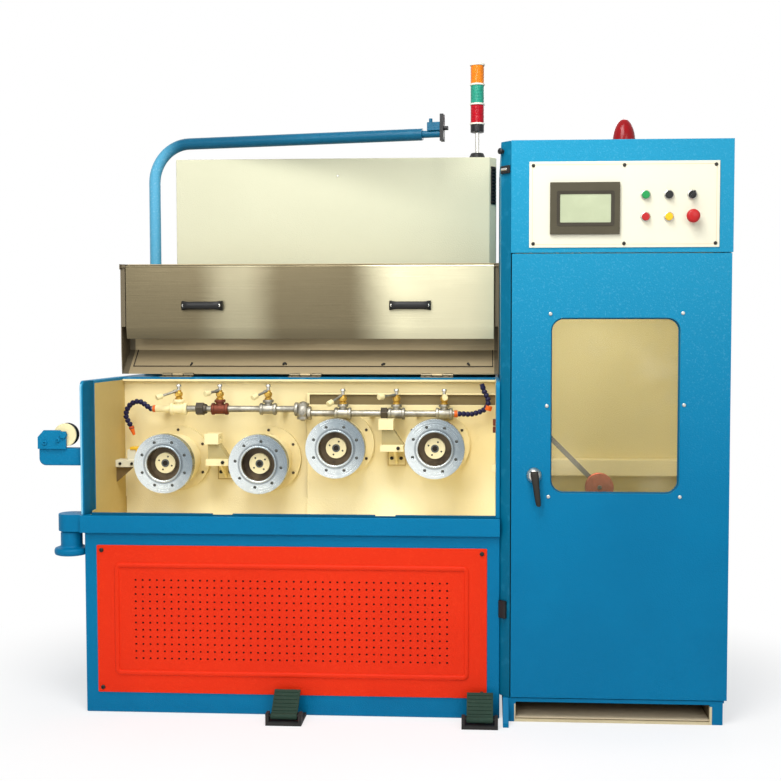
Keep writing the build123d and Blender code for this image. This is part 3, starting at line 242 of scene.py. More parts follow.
# This cream is painted shade on the tub's left wall and on the pan liner's left skin.
SHADE_CREAM = (srgb(204, 180, 116), srgb(216, 194, 134), srgb(184, 158, 94))
RED = (srgb(220, 48, 16), srgb(232, 72, 30), srgb(204, 38, 12))
CREAM = (srgb(246, 232, 182), srgb(250, 240, 204), srgb(226, 202, 138))
WORN_CREAM = (srgb(226, 214, 178), srgb(240, 232, 206), srgb(150, 132, 96))
PAN_BROWN = (srgb(112, 98, 74), srgb(140, 124, 96), srgb(78, 66, 50))
SLOT_BROWN = (srgb(132, 116, 80), srgb(160, 142, 100), srgb(100, 86, 58))
FOOT_BROWN = (srgb(202, 180, 126), srgb(214, 194, 144), srgb(178, 156, 104))
NECK_OLIVE = (srgb(176, 162, 116), srgb(196, 182, 134), srgb(140, 126, 88))
OLIVE_CREAM = (srgb(232, 218, 162), srgb(238, 226, 180), srgb(212, 196, 136))
BOX_GREY = (srgb(200, 199, 172), srgb(208, 207, 184), srgb(190, 189, 162))
PLATE_WHITE = (srgb(222, 219, 198), srgb(228, 225, 208), srgb(216, 212, 190))
PEDAL_GREEN = (srgb(44, 66, 54), srgb(72, 96, 82), srgb(28, 44, 38))

blue = sprayed_paint("hammered_blue", BLUE)
# The gooseneck: its upright is painted lighter, with pale flecks, as painted light and highlight, and its run
# past the bend is painted shade.
PIPE_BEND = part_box("gooseneck_pipe")[0].x + 0.10
pipe_blue = sprayed_paint("pipe_blue", PIPE_LIT_BLUE, 150.0, 0.3, inside=PIPE_SHADE,
                          mask=lambda f: f.ramp(f.x, PIPE_BEND - 0.04, PIPE_BEND + 0.06), gloss=0.2)
lip_blue = sprayed_paint("lip_blue", POST_TEAL)
red = sprayed_paint("panel_red", RED, 120.0, 0.42)
cream = sprayed_paint("tub_cream", CREAM, CREAM_FLECKS, CREAM_ROUGHNESS)
pan_sheet = sprayed_paint("pan_sheet", PAN_SHEET, 30.0, 0.6)
box_grey = sprayed_paint("box_grey", BOX_GREY, 420.0, 0.5)
plate_white = sprayed_paint("plate_white", PLATE_WHITE, 300.0, 0.35, 0.0001)
pedal_green = sprayed_paint("cast_green", PEDAL_GREEN, 90.0, 0.55, 0.001)
print("paints", [m.name for m in (blue, red, cream, pan_sheet, box_grey, plate_white, pedal_green)])

# %% [markdown]
# Some walls are blue outside and cream inside. One mask on the wall's own coordinates chooses the side,
# so the wall stays one piece.

# %% Two-sided paints
tub_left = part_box("tub_left_wall")
tub_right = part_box("tub_right_wall")
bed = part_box("bed_plate")
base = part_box("base_housing")
cabinet = (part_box("cabinet_left_side")[0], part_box("cabinet_right_side")[1])
back_low, back_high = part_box("tub_back_wall")
SKIN = 0.0008
PAN_DEPTH = 0.052
pan_low = Vector((tub_left[1].x - 0.010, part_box("tub_front_lip")[1].y + 0.006, bed[1].z - PAN_DEPTH))
pan_high = Vector((tub_right[0].x + 0.005, back_high.y - 0.004, bed[1].z + 0.1))
POST_RETURN = 0.042
POST_EDGE = 0.009
RIM = 0.009
post_end = tub_left[0].y + POST_RETURN


def left_inside(finish):
    """The left wall's inner face, below its rim and behind the front post, which gets painted shade."""
    below_rim = finish.z < tub_left[1].z - RIM
    return (finish.x > tub_left[1].x - SKIN) * (finish.y > post_end + 0.002) * below_rim


def left_return_shade(finish):
    """The slanting return of the front post, painted darker teal as shade."""
    return (finish.x > tub_left[0].x + POST_EDGE + 0.001) * (finish.y < post_end - 0.003)


def left_arris_glint(finish):
    """The post's outer front corner, with a painted highlight."""
    return (finish.x < tub_left[0].x + 0.006) * (finish.y < tub_left[0].y + 0.004)


def right_inside(finish):
    """The right wall's inner face."""
    return (finish.x < tub_right[0].x + SKIN) * (finish.y > tub_right[0].y + POST_RETURN / 3)


right_wall_paint = sprayed_paint("right_wall_paint", BLUE, inside=CREAM, mask=right_inside)


def tub_floor(finish):
    """The sunk pan."""
    across = (finish.x > pan_low.x - SKIN) * (finish.x < pan_high.x + SKIN)
    pan = (finish.z > pan_low.z - SKIN) * across * (finish.y > pan_low.y - SKIN)
    return pan * (finish.y < pan_high.y + SKIN)


bed_paint = sprayed_paint("bed_paint", BLUE, inside=CREAM, mask=tub_floor)


BRIGHTEN_LOW = bed[1].z + 0.01
BRIGHTEN_HIGH = bed[1].z + 0.19
BACK_END = 0.004
BACK_RAIL = 0.0065
CABINET_WALL = 0.0205
DOOR_DEPTH = 0.05


def low_wall_brightened(finish):
    """The lower part of the tub's back, painted lighter as painted light against the shade of the front lip.
    """
    return 1 - finish.ramp(finish.z, BRIGHTEN_LOW, BRIGHTEN_HIGH)


def back_outside(finish):
    """The end of the back wall and the top of its rail are blue like the shell."""
    return (finish.x < back_low.x + BACK_END) + (finish.z > back_high.z - BACK_RAIL)


def cabinet_inside(finish):
    """Inner faces of the cabinet, behind the door and below the top."""
    below_top = finish.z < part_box("cabinet_top")[0].z + SKIN
    left = finish.x > cabinet[0].x + CABINET_WALL - SKIN
    across = left * (finish.x < cabinet[1].x - CABINET_WALL + SKIN)
    back_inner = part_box("cabinet_back")[0].y
    behind_door = finish.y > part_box("door_glass")[1].y + DOOR_DEPTH
    return below_top * across * (finish.y < back_inner + SKIN) * behind_door


shell_paint = sprayed_paint("cabinet_paint", BLUE, inside=OLIVE_CREAM, mask=cabinet_inside)
plinth_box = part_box("plinth")
plinth_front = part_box("door_panel")[0].y + 0.004
LEG = 0.040
CHAMFER = 0.031
CHAMFER_LAP = 0.0002
PLINTH_HEAD = 0.018
COAT_ROUGHNESS = 0.4
COAT_PEEL = 0.0004
OUTSIDE_FLECKS = 190.0
DEEP_FLECKS = 30.0


def plinth_worn(finish):
    """Bare cream edges round the opening, and the rail."""
    left_edge = finish.x > plinth_box[0].x + LEG - 0.004
    right_edge = finish.x < plinth_box[1].x - LEG + 0.007
    return left_edge * right_edge * (finish.z < plinth_box[1].z - PLINTH_HEAD)


def plinth_inside(finish):
    """The plinth's hollow, behind its opening."""
    deep = finish.y > plinth_front + 0.012
    across = (finish.x > plinth_box[0].x + LEG - SKIN) * (finish.x < plinth_box[1].x - LEG + SKIN)
    return deep * across


def three_coats(name, outside, edge, deep, edge_mask, deep_mask, glint=None, glint_mask=None):
    """Enamel outside, two other coats where their masks are 1, and a painted highlight on an arris if there
    is one.
    """
    finish = Finish(name, Specular_IOR_Level=ENAMEL_GLOSS)
    colour = finish.mix(edge_mask(finish), coat_colour(finish, *outside[:3], OUTSIDE_FLECKS, *outside[3:]),
                        coat_colour(finish, *edge, INSIDE_FLECKS))
    colour = finish.mix(deep_mask(finish), colour, coat_colour(finish, *deep, DEEP_FLECKS))
    if glint:
        colour = finish.mix(glint_mask(finish), colour, coat_colour(finish, *glint, OUTSIDE_FLECKS))
    return enamel(finish, colour, COAT_ROUGHNESS, COAT_PEEL)


bearing_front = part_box("bearing_plate")[0].y
# The left wall: painted shade on its inner face and on the post's return, and a painted highlight on the
# post's arris.
left_wall_paint = three_coats("left_wall_paint", BLUE, SHADE_CREAM, POST_TEAL, left_inside, left_return_shade,
                              GLINT_BLUE, left_arris_glint)
# The cabinet's left side: painted shade on the chamfer at its front.
left_side_paint = three_coats("left_side_paint", BLUE, OLIVE_CREAM, CHAMFER_SHADE_BLUE, cabinet_inside,
                              lambda f: f.y < cabinet[0].y + CHAMFER + CHAMFER_LAP)
plinth_paint = three_coats("plinth_paint", BLUE, WORN_CREAM, PAN_BROWN, plinth_worn, plinth_inside)
# Back wall, bearing plate and pan liner: lighter cream low down as painted light; the liner's left skin gets
# painted shade.
back_wall_paint = three_coats("back_wall_paint", CREAM, BRIGHTENED_CREAM, BLUE[:3], low_wall_brightened, back_outside)
liner_cream = sprayed_paint("liner_cream", BRIGHTENED_CREAM, CREAM_FLECKS, CREAM_ROUGHNESS, inside=SHADE_CREAM,
                            mask=lambda f: f.x < tub_left[1].x + 0.002)
slot_paint = three_coats("bearing_plate_cream", CREAM, BRIGHTENED_CREAM, SLOT_BROWN, low_wall_brightened,
                         lambda f: f.y > bearing_front + 0.004)
NECK_H = 0.050
FOOT_H = 0.058
FOOT_INSET = 0.022
FOOT_GRIME_AND_SHADE = 0.004
HOLDER_SHIFT = 0.020
DIE_BLOCK_H = 0.035


def holder_paint(node):
    """Cream with a bare olive neck under the die block, and grime with painted contact shade round the foot.
    """
    low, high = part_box(node)
    top = high.z - DIE_BLOCK_H
    shift = HOLDER_SHIFT if node == "die_holder_right" else 0.0
    foot_left = low.x + FOOT_INSET + shift + FOOT_GRIME_AND_SHADE
    foot_right = high.x + shift - FOOT_GRIME_AND_SHADE

    # Round the foot's edge: grime and painted contact shade.
    def grime(finish):
        middle = (finish.x > foot_left) * (finish.x < foot_right) * (finish.z > low.z + FOOT_GRIME_AND_SHADE)
        return (finish.z < low.z + FOOT_H) * (1 - middle)

    return three_coats(node + "_paint", CREAM, NECK_OLIVE, FOOT_BROWN,
                       lambda f: (f.z < top) * (f.z > top - NECK_H), grime)


print("two-sided paints ready")

# %% [markdown]
# ## Metals
# Brushed stainless steel is noise stretched along the brushing, so that highlights smear. The capstans are
# turned: their marks are rings round the shaft, so the pattern reads the distance from the axis.


# %% Metals
def scaled(colour, share):
    """A lighter or darker version of a colour."""
    return (*(min(1.0, part * share) for part in colour[:3]), 1.0)


def brushed_steel(name, colour, stretch, roughness, painted_light_share=None, bright=None, metal=1.0):
    """Steel brushed one way; where the painted light share is 1, the given colour shows as painted light
    (painted reflection on the flap, painted shade on the hood's ends).
    """
    finish = Finish(name, Metallic=metal)
    lines = finish.noise(1.0, 3.0, stretch)
    smears = finish.ramp(finish.noise(3.5, 5.0), 0.35, 0.75)
    shade = finish.mix(lines * 0.5 + smears * 0.4, colour, scaled(colour, 0.72))
    if painted_light_share:
        shade = finish.mix(painted_light_share(finish), shade, bright)
    finish.feed(Base_Color=shade, Roughness=lines * 0.22 + smears * 0.12 + (roughness - 0.12))
    return finish.bump(lines, 0.00025).material


def spangled_zinc(name, colour, roughness=0.42):
    """Cast or galvanised metal with crystal spangle and grime."""
    finish = Finish(name, Metallic=0.9)
    sockets = {"Vector": finish.place, "Scale": 130.0}
    grain = finish.node("ShaderNodeTexVoronoi", None, sockets, out="Color")
    tone = finish.node("ShaderNodeSeparateColor", None, {0: grain})
    grime = finish.ramp(finish.noise(30.0, 5.0), 0.45, 0.75)
    spangle = finish.mix(tone, colour, scaled(colour, 1.35))
    shade = finish.mix(grime * 0.55, spangle, scaled(colour, 0.45))
    finish.feed(Base_Color=shade, Roughness=grime * 0.25 + tone * 0.1 + (roughness - 0.1))
    return finish.bump(finish.noise(420.0, 2.0), 0.0003).material


RING_LENGTH = 0.034
GROOVE_STARTS = (0.0614, 0.0622)
GROOVE_ENDS = (0.0640, 0.0700)


def turned_aluminium(name, centre, hub_radius, recess_radius):
    """Bright face ring with painted reflection, recess with oil and painted shade, cream hub and drum behind
    it.
    """
    finish = Finish(name)
    distance = finish.radius(centre)
    rings = finish.node("ShaderNodeTexNoise", {"noise_dimensions": "1D"}, {"W": distance, "Scale": 900.0})
    mottle = finish.ramp(finish.noise(26.0, 3.0), 0.4, 0.75)
    # A painted reflection: the ring goes from bright to dark across its face.
    lean = (finish.x - centre.x) * 5.2 + (finish.z - centre.z) * 4.2 + mottle * 0.25
    metal = finish.mix(finish.ramp(lean, -0.55, 0.75), srgb(232, 238, 236), srgb(138, 150, 156))
    groove = finish.ramp(distance, *GROOVE_STARTS) * (1 - finish.ramp(distance, *GROOVE_ENDS))
    metal = finish.mix(groove * 0.6, metal, srgb(92, 100, 106))
    hub = distance < hub_radius
    sunk = (distance < recess_radius + 0.0004) * (finish.y > centre.y + 0.004) * (1 - hub)
    drum = (finish.y > centre.y + RING_LENGTH) * (1 - sunk) * (1 - hub)
    paint = coat_colour(finish, *CREAM, 80.0)
    # The recess colour: dark oil and painted shade.
    recess_oil_and_shade = finish.mix(mottle, srgb(112, 96, 72), srgb(72, 60, 46))
    colour = finish.mix(sunk, metal, recess_oil_and_shade)
    bare = (1 - hub) * (1 - drum) * (1 - sunk * 0.6)
    finish.feed(Base_Color=finish.mix(hub + drum, colour, paint), Metallic=bare * 0.95)
    finish.feed(Roughness=rings * 0.14 + mottle * 0.08 + (hub + drum + sunk) * 0.2 + 0.18)
    return finish.bump(rings, 0.0003).material


lid_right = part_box("lid_flap")[1].x
hood_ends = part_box("lid_hood")
BRUSHED_ALONG = (6.0, 420.0, 420.0)
BRUSHED_UP = (60.0, 60.0, 400.0)
FINE_GRAIN = (90.0, 90.0, 300.0)


def painted_reflection(finish):
    """Painted reflection: brighter steel by the right handle and in one band near the left handle."""
    place = finish.x + finish.noise(2.4, 4.0) * 0.12
    right_end = finish.ramp(place, lid_right - 0.44, lid_right - 0.24)
    band_start = finish.ramp(place, lid_right - 0.98, lid_right - 0.84)
    band_end = finish.ramp(place, lid_right - 0.80, lid_right - 0.66)
    return right_end * 0.9 + band_start * (1 - band_end) * 0.3


def hood_end_shade(finish):
    """The end plates and strips, painted darker as shade."""
    return (finish.x < hood_ends[0].x + 0.024) + (finish.x > hood_ends[1].x - 0.016)


# The flap gets a painted reflection; the hood gets painted shade at its ends.
stainless = brushed_steel("brushed_stainless", srgb(118, 108, 84), BRUSHED_ALONG, 0.34, painted_reflection,
                          srgb(222, 216, 182))
hood_steel = brushed_steel("hood_stainless", srgb(176, 158, 122), BRUSHED_ALONG, 0.5, hood_end_shade,
                           srgb(104, 94, 74), metal=0.6)
bright_steel = brushed_steel("bright_steel", srgb(214, 212, 204), BRUSHED_UP, 0.26)
hinge_steel = brushed_steel("hinge_steel", srgb(128, 118, 96), BRUSHED_UP, 0.4)
arm_steel = brushed_steel("arm_steel", srgb(124, 120, 110), BRUSHED_UP, 0.3)
hole_steel = brushed_steel("hole_steel", srgb(104, 106, 102), FINE_GRAIN, 0.4)
union_steel = brushed_steel("union_steel", srgb(96, 88, 78), FINE_GRAIN, 0.45)
dark_steel = brushed_steel("dark_steel", srgb(62, 60, 56), FINE_GRAIN, 0.42)
zinc = spangled_zinc("galvanised_pipe", srgb(150, 146, 134))
brass = spangled_zinc("cast_brass", srgb(196, 158, 74), 0.34)
copper_red = spangled_zinc("pulley_copper", srgb(168, 84, 60), 0.4)
tee_rust = spangled_zinc("rusty_tee", srgb(112, 62, 48), 0.6)
print("metals ready")

# %% [markdown]
# ## Plastics, lenses and glass
# Moulded plastic has a fine spark-eroded grain. The lamp lenses are coloured, smooth and slightly clear.


# %% Plastics
def moulded(name, colour, roughness=0.45, grain=700.0, depth=0.0002):
    """Plastic or rubber with dusty patches."""
    finish = Finish(name, Specular_IOR_Level=0.25)
    patches = finish.ramp(finish.noise(14.0, 4.0), 0.35, 0.75)
    dusty = (*(min(1.0, part * 1.25 + 0.012) for part in colour[:3]), 1.0)
    shade = finish.mix(patches * 0.5, colour, dusty)
    finish.feed(Base_Color=shade, Roughness=patches * 0.14 + (roughness - 0.06))
    return finish.bump(finish.noise(grain, 2.0), depth).material


def lamp_lens(name, colour):
    """Coloured lens, slightly clear."""
    finish = Finish(name, Transmission_Weight=0.06, IOR=1.49, Specular_IOR_Level=0.18)
    depth = finish.ramp(finish.noise(60.0, 3.0), 0.3, 0.8)
    shade = finish.mix(depth * 0.6, colour, scaled(colour, 0.7))
    finish.feed(Base_Color=shade, Roughness=depth * 0.12 + 0.14)
    return finish.bump(finish.noise(240.0, 2.0), 0.00015).material


def window_pane(name):
    """Clear acrylic: almost nothing but a faint film that the light shows."""
    finish = Finish(name, Specular_IOR_Level=0.4)
    film = finish.ramp(finish.noise(7.0, 6.0), 0.45, 0.8)
    finish.feed(Base_Color=finish.mix(film, srgb(196, 186, 146), srgb(224, 216, 184)))
    return finish.feed(Roughness=film * 0.08 + 0.04, Alpha=film * 0.05 + 0.06).material


black = moulded("black_plastic", srgb(26, 26, 26), 0.4)
rubber = moulded("black_rubber", srgb(34, 33, 32), 0.7)
knob_cream = moulded("knob_cream", srgb(232, 218, 166), 0.45)
pale = moulded("pale_plastic", srgb(226, 222, 206), 0.4)
hose_navy = moulded("hose_navy", srgb(20, 18, 58), 0.4)
orange = moulded("nozzle_orange", srgb(214, 96, 24), 0.4)
yellow = moulded("clip_yellow", srgb(226, 180, 44), 0.45)
bezel_olive = moulded("bezel_olive", srgb(54, 49, 38), 0.6)
olive = moulded("panel_olive", srgb(72, 67, 51), 0.7)
bracket_brown = moulded("bracket_brown", srgb(104, 84, 50), 0.6)
# This black is the hood seam's dark joint and painted shade in the capstan bores.
seam_and_shade_black = moulded("seam_black", srgb(40, 34, 26), 0.8)
line_tan = moulded("printed_line", srgb(214, 192, 150), 0.5)
green_key = moulded("key_green", srgb(18, 132, 66), 0.3)
red_key = moulded("key_red", srgb(172, 26, 28), 0.3)
yellow_key = moulded("key_yellow", srgb(226, 178, 20), 0.3)
screen_face = moulded("screen_face", srgb(172, 180, 148), 0.22, 1500.0, 0.00005)
hole_dark = moulded("hole_dark", srgb(36, 14, 10), 0.8)
red_lens = lamp_lens("lens_red", srgb(186, 18, 34))
dome_red = lamp_lens("dome_red", srgb(146, 8, 16))
green_lens = lamp_lens("lens_green", srgb(48, 156, 130))
amber_lens = lamp_lens("lens_amber", srgb(240, 134, 30))
pane = window_pane("window_pane")
print("plastics ready")

# %% [markdown]
# ## Soft edges for the welded bodies
# Real sheet and castings never have razor edges: a bend or a worn arris catches the light. Each solid is
# copied, its loose triangles merged into flat faces, its sharp edges bevelled, and its normals weighted so
# that the flats stay flat.


# %% Shape helpers
def soften(mesh_code, width, angle=32.0, segments=2):
    """Bevels the edges that turn by more than the angle."""
    if width:
        sharp = []
        for edge in mesh_code.edges:
            if len(edge.link_faces) == 2 and edge.calc_face_angle(0.0) > math.radians(angle):
                sharp.append(edge)
        bmesh.ops.bevel(mesh_code, geom=sharp, offset=width, offset_type="OFFSET", segments=segments,
                        profile=0.5, affect="EDGES", clamp_overlap=True)


SMOOTH_BELOW = 50.0


def settle(name, mesh, material, body, replaces=()):
    """Makes a mesh a piece of the machine: smooth with weighted normals, on its body, with its finish."""
    piece = linked(name, mesh)
    mesh.materials.clear()
    mesh.materials.append(material)
    mesh.shade_smooth()
    mesh.set_sharp_from_angle(angle=math.radians(SMOOTH_BELOW))
    weighted = piece.modifiers.new("weights", "WEIGHTED_NORMAL")
    weighted.keep_sharp = True
    plain = evaluated_mesh(piece)
    piece.modifiers.clear()
    piece.data = plain
    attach(piece, body)
    if replaces:
        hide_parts(*replaces)
    return piece


def piece_from(name, mesh_code, material, body, replaces=(), width=0.0):
    """Finishes a bmesh as a piece."""
    bmesh.ops.recalc_face_normals(mesh_code, faces=mesh_code.faces)
    soften(mesh_code, width)
    mesh = bpy.data.meshes.new(name)
    mesh_code.to_mesh(mesh)
    mesh_code.free()
    return settle(name, mesh, material, body, replaces)


def evaluated_mesh(holder):
    """The plain mesh of an object with its modifiers applied."""
    evaluated = holder.evaluated_get(bpy.context.evaluated_depsgraph_get())
    return bpy.data.meshes.new_from_object(evaluated)


def linked(name, data):
    """A new object in the scene."""
    made = bpy.data.objects.new(name, data)
    bpy.context.scene.collection.objects.link(made)
    return made


def pan_cut(mesh_code):
    """Sinks the tub's pan into the bed."""
    solid = bpy.data.meshes.new("solid")
    mesh_code.to_mesh(solid)
    cutter_code = bmesh.new()
    bmesh.ops.create_cube(cutter_code, size=1.0)
    size = pan_high - pan_low
    for vert in cutter_code.verts:
        vert.co = pan_low + Vector([(vert.co[k] + 0.5) * size[k] for k in range(3)])
    cutter_mesh = bpy.data.meshes.new("cutter")
    cutter_code.to_mesh(cutter_mesh)
    cutter_code.free()
    holders = [linked("cut", mesh) for mesh in (solid, cutter_mesh)]
    boolean = holders[0].modifiers.new("pan", "BOOLEAN")
    boolean.operation = "DIFFERENCE"
    boolean.object = holders[1]
    result = evaluated_mesh(holders[0])
    mesh_code.clear()
    mesh_code.from_mesh(result)
    for holder in holders:
        bpy.data.objects.remove(holder)


CAPSTAN_TURN = (22.5, -8.0, 22.5, 20.0)


def fitted(node, mesh_code):
    """What a copy has beyond its solid: the sunk pan, the capstans' rest angles, one holder's place."""
    if node == "bed_plate":
        pan_cut(mesh_code)
    if node.startswith("capstan_"):
        number = int(node[-1]) - 1
        turn = Matrix.Rotation(math.radians(-CAPSTAN_TURN[number]), 3, "Y")
        bmesh.ops.rotate(mesh_code, verts=mesh_code.verts, cent=capstan_centres[number], matrix=turn)
    if node == "die_holder_right":
        bmesh.ops.translate(mesh_code, verts=mesh_code.verts, vec=(HOLDER_SHIFT, 0, 0))


def softened(node, material, width, body):
    """A copy of a CAD node with soft edges stands for it."""
    mesh_code = bmesh.new()
    mesh_code.from_mesh(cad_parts[node].data)
    bmesh.ops.remove_doubles(mesh_code, verts=mesh_code.verts, dist=0.00002)
    fitted(node, mesh_code)
    bmesh.ops.dissolve_limit(mesh_code, angle_limit=math.radians(0.6), verts=mesh_code.verts,
                             edges=mesh_code.edges)
    soften(mesh_code, width)
    mesh = bpy.data.meshes.new(node + "_soft")
    mesh_code.to_mesh(mesh)
    mesh_code.free()
    return settle(node + "_soft", mesh, material, body, (node,))


print("shape helpers ready")

# %% The welded bodies
capstan_centres = []
for number in range(1, 5):
    low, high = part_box(f"capstan_{number}")
    capstan_centres.append(Vector(((low.x + high.x) / 2, low.y, (low.z + high.z) / 2)))
HUB_RADIUS = 0.0343
RECESS_RADIUS = 0.0549

WELDED = (
    ("base_housing", blue, 0.004, "machine", "blue_paint"),
    ("bed_plate", bed_paint, 0.005, "machine", "blue_paint"),
    ("pivot_boss", blue, 0.008, "machine", "blue_paint"),
    ("tub_right_wall", right_wall_paint, 0.003, "machine", "blue_paint"),
    ("tub_back_wall", back_wall_paint, 0.002, "machine", "cream_paint"),
    ("bearing_plate", slot_paint, 0.002, "machine", "cream_paint"),
    ("tub_front_lip", lip_blue, 0.001, "machine", "cream_paint"),
    ("gearbox_housing", blue, 0.004, "machine", "blue_paint"),
    ("bearing_flanges", cream, 0.002, "machine", "cream_paint"),
    ("die_holder_left", holder_paint("die_holder_left"), 0.0025, "machine", "cream_paint"),
    ("die_holder_right", holder_paint("die_holder_right"), 0.0025, "machine", "cream_paint"),
    ("inlet_die_block", plate_white, 0.002, "machine", "cream_paint"),
    ("spray_manifold", zinc, 0.0015, "machine", "zinc_pipe"),
    ("lid_hood", hood_steel, 0.0008, "lid", "stainless"),
    ("lid_flap", stainless, 0.0008, "flap", "stainless"),
    ("lid_hinges", hinge_steel, 0.0008, "machine", "stainless"),
    ("electrical_box", box_grey, 0.003, "machine", "grey_paint"),
    ("tower_stem", black, 0.0015, "machine", "black_plastic"),
    ("gooseneck_pipe", pipe_blue, 0.002, "machine", "blue_paint"),
    ("wire_guide", black, 0.0015, "machine", "black_plastic"),
    ("inlet_arm", blue, 0.005, "machine", "blue_paint"),
    ("inlet_plate", blue, 0.002, "machine", "blue_paint"),
    ("cabinet_left_side", left_side_paint, 0.003, "machine", "blue_paint"),
    ("cabinet_right_side", shell_paint, 0.003, "machine", "blue_paint"),
    ("cabinet_back", shell_paint, 0.003, "machine", "blue_paint"),
    ("control_head", shell_paint, 0.003, "machine", "blue_paint"),
    ("cabinet_top", shell_paint, 0.002, "machine", "blue_paint"),
    ("cabinet_floor", cream, 0.002, "machine", "cream_paint"),
    ("cabinet_ledge", cream, 0.004, "machine", "cream_paint"),
    ("plinth", plinth_paint, 0.002, "machine", "blue_paint"),
    ("control_plate", plate_white, 0.001, "machine", "panel_white"),
    ("operator_panel", olive, 0.002, "machine", "dark_plastic"),
    ("door_panel", blue, 0.004, "door", "blue_paint"),
    ("dancer_bracket", zinc, 0.002, "machine", "zinc_pipe"),
    ("dancer_arm", arm_steel, 0.002, "dancer", "zinc_pipe"),
    ("dancer_pulley", copper_red, 0.0015, "dancer_pulley", "copper_red"),
    ("pedal_bases", rubber, 0.003, "machine", "black_plastic"),
    ("pedal_treadle_1", pedal_green, 0.0012, "treadle_1", "green_cast"),
    ("pedal_treadle_2", pedal_green, 0.0012, "treadle_2", "green_cast"),
)
for node, material, width, body, slot in WELDED:
    softened(node, material, width, body)
for number, centre in enumerate(capstan_centres, start=1):
    aluminium = turned_aluminium(f"turned_aluminium_{number}", centre, HUB_RADIUS, RECESS_RADIUS)
    softened(f"capstan_{number}", aluminium, 0.002, f"capstan_{number}")
pane_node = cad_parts["door_glass"]
pane_node.data.materials.clear()
pane_node.data.materials.append(pane)
print("softened", len(WELDED) + 4, "nodes")

# %% [markdown]
# ## Turned and built shapes
# Buttons, lamps and fittings are turned on a lathe, so one helper spins a profile round any axis. Brackets
# and bars are slabs and drawn outlines. The tub's left wall is the first: its front post has a thin edge and
# a folded return behind it, so its outline is drawn in plan and raised.


# %% Lathe, slab and outline
def turned(mesh_code, centre, axis, profile, sides=32, closed=False):
    """Adds a lathe shape; the profile lists (distance along the axis, radius)."""
    axis = Vector(axis).normalized()
    side = axis.orthogonal().normalized()
    upward = axis.cross(side)
    rings = []
    for along, radius in profile:
        middle = Vector(centre) + axis * along
        if radius < 1e-7:
            rings.append([mesh_code.verts.new(middle)])
            continue
        ring = []
        for k in range(sides):
            angle = 2 * math.pi * k / sides
            offset = side * math.cos(angle) + upward * math.sin(angle)
            ring.append(mesh_code.verts.new(middle + offset * radius))
        rings.append(ring)
    pairs = list(zip(rings, rings[1:]))
    if closed:
        pairs.append((rings[-1], rings[0]))
    for first, second in pairs:
        for k in range(sides):
            n = (k + 1) % sides
            if len(first) == 1:
                mesh_code.faces.new((first[0], second[n], second[k]))
            elif len(second) == 1:
                mesh_code.faces.new((first[k], first[n], second[0]))
            else:
                mesh_code.faces.new((first[k], first[n], second[n], second[k]))
    if not closed and len(rings[0]) > 1:
        mesh_code.faces.new(reversed(rings[0]))
    if not closed and len(rings[-1]) > 1:
        mesh_code.faces.new(rings[-1])


def drawn(mesh_code, outline, along):
    """Adds a flat outline drawn out along a vector."""
    along = Vector(along)
    near = [mesh_code.verts.new(Vector(point)) for point in outline]
    far = [mesh_code.verts.new(Vector(point) + along) for point in outline]
    mesh_code.faces.new(near)
    mesh_code.faces.new(reversed(far))
    for k in range(len(near)):
        n = (k + 1) % len(near)
        mesh_code.faces.new((near[n], near[k], far[k], far[n]))


def slab(mesh_code, low, high):
    """Adds a block between two corners."""
    outline = [(low[0], low[1], low[2]), (high[0], low[1], low[2]), (high[0], low[1], high[2]),
               (low[0], low[1], high[2])]
    drawn(mesh_code, outline, (0, high[1] - low[1], 0))


def rounded_loop(x0, x1, z0, z1, radius, y, steps=6):
    """Points round a rectangle with round corners, in a plane that faces the operator."""
    points = []
    corners = ((x1 - radius, z1 - radius, 0), (x0 + radius, z1 - radius, 90), (x0 + radius, z0 + radius, 180),
               (x1 - radius, z0 + radius, 270))
    for cx, cz, start in corners:
        for k in range(steps + 1):
            angle = math.radians(start + 90 * k / steps)
            points.append(Vector((cx + radius * math.cos(angle), y, cz + radius * math.sin(angle))))
    return points


def bridged(mesh_code, loops, closed=False):
    """Adds faces between loops that have the same number of points."""
    rings = [[mesh_code.verts.new(point) for point in loop] for loop in loops]
    pairs = list(zip(rings, rings[1:]))
    if closed:
        pairs.append((rings[-1], rings[0]))
    for first, second in pairs:
        for k in range(len(first)):
            n = (k + 1) % len(first)
            mesh_code.faces.new((first[k], first[n], second[n], second[k]))
    return rings


def capped(mesh_code, sections):
    """Bridges sections and closes both ends."""
    rings = bridged(mesh_code, sections)
    mesh_code.faces.new(rings[0])
    mesh_code.faces.new(reversed(rings[-1]))


def turned_piece(name, spins, material, body, replaces=(), width=0.0, closed=False):
    """Turns one or more profiles, each with its centre, axis and number of sides, and makes them a piece."""
    mesh_code = bmesh.new()
    for centre, axis, profile, sides in spins:
        turned(mesh_code, centre, axis, profile, sides, closed)
    return piece_from(name, mesh_code, material, body, replaces, width)


def slab_piece(name, blocks, material, width=0.0):
    """Makes blocks one piece of the machine's frame."""
    mesh_code = bmesh.new()
    for low, high in blocks:
        slab(mesh_code, low, high)
    return piece_from(name, mesh_code, material, "machine", (), width)


def framed_piece(name, rows, material, body):
    """A closed moulding through rounded loops, each with its edges, corner radius and depth."""
    mesh_code = bmesh.new()
    bridged(mesh_code, [rounded_loop(*edges, radius, y) for edges, radius, y in rows], closed=True)
    return piece_from(name, mesh_code, material, body)


def tube(length, inner, outer):
    """The profile of a plain tube."""
    return [(0, inner), (0, outer), (length, outer), (length, inner)]


def circle_points(centre, radius, count, y, start):
    """Points round an axis along Y."""
    points = []
    for k in range(count):
        angle = 2 * math.pi * k / count + start
        points.append((centre.x + radius * math.cos(angle), y, centre.z + radius * math.sin(angle)))
    return points


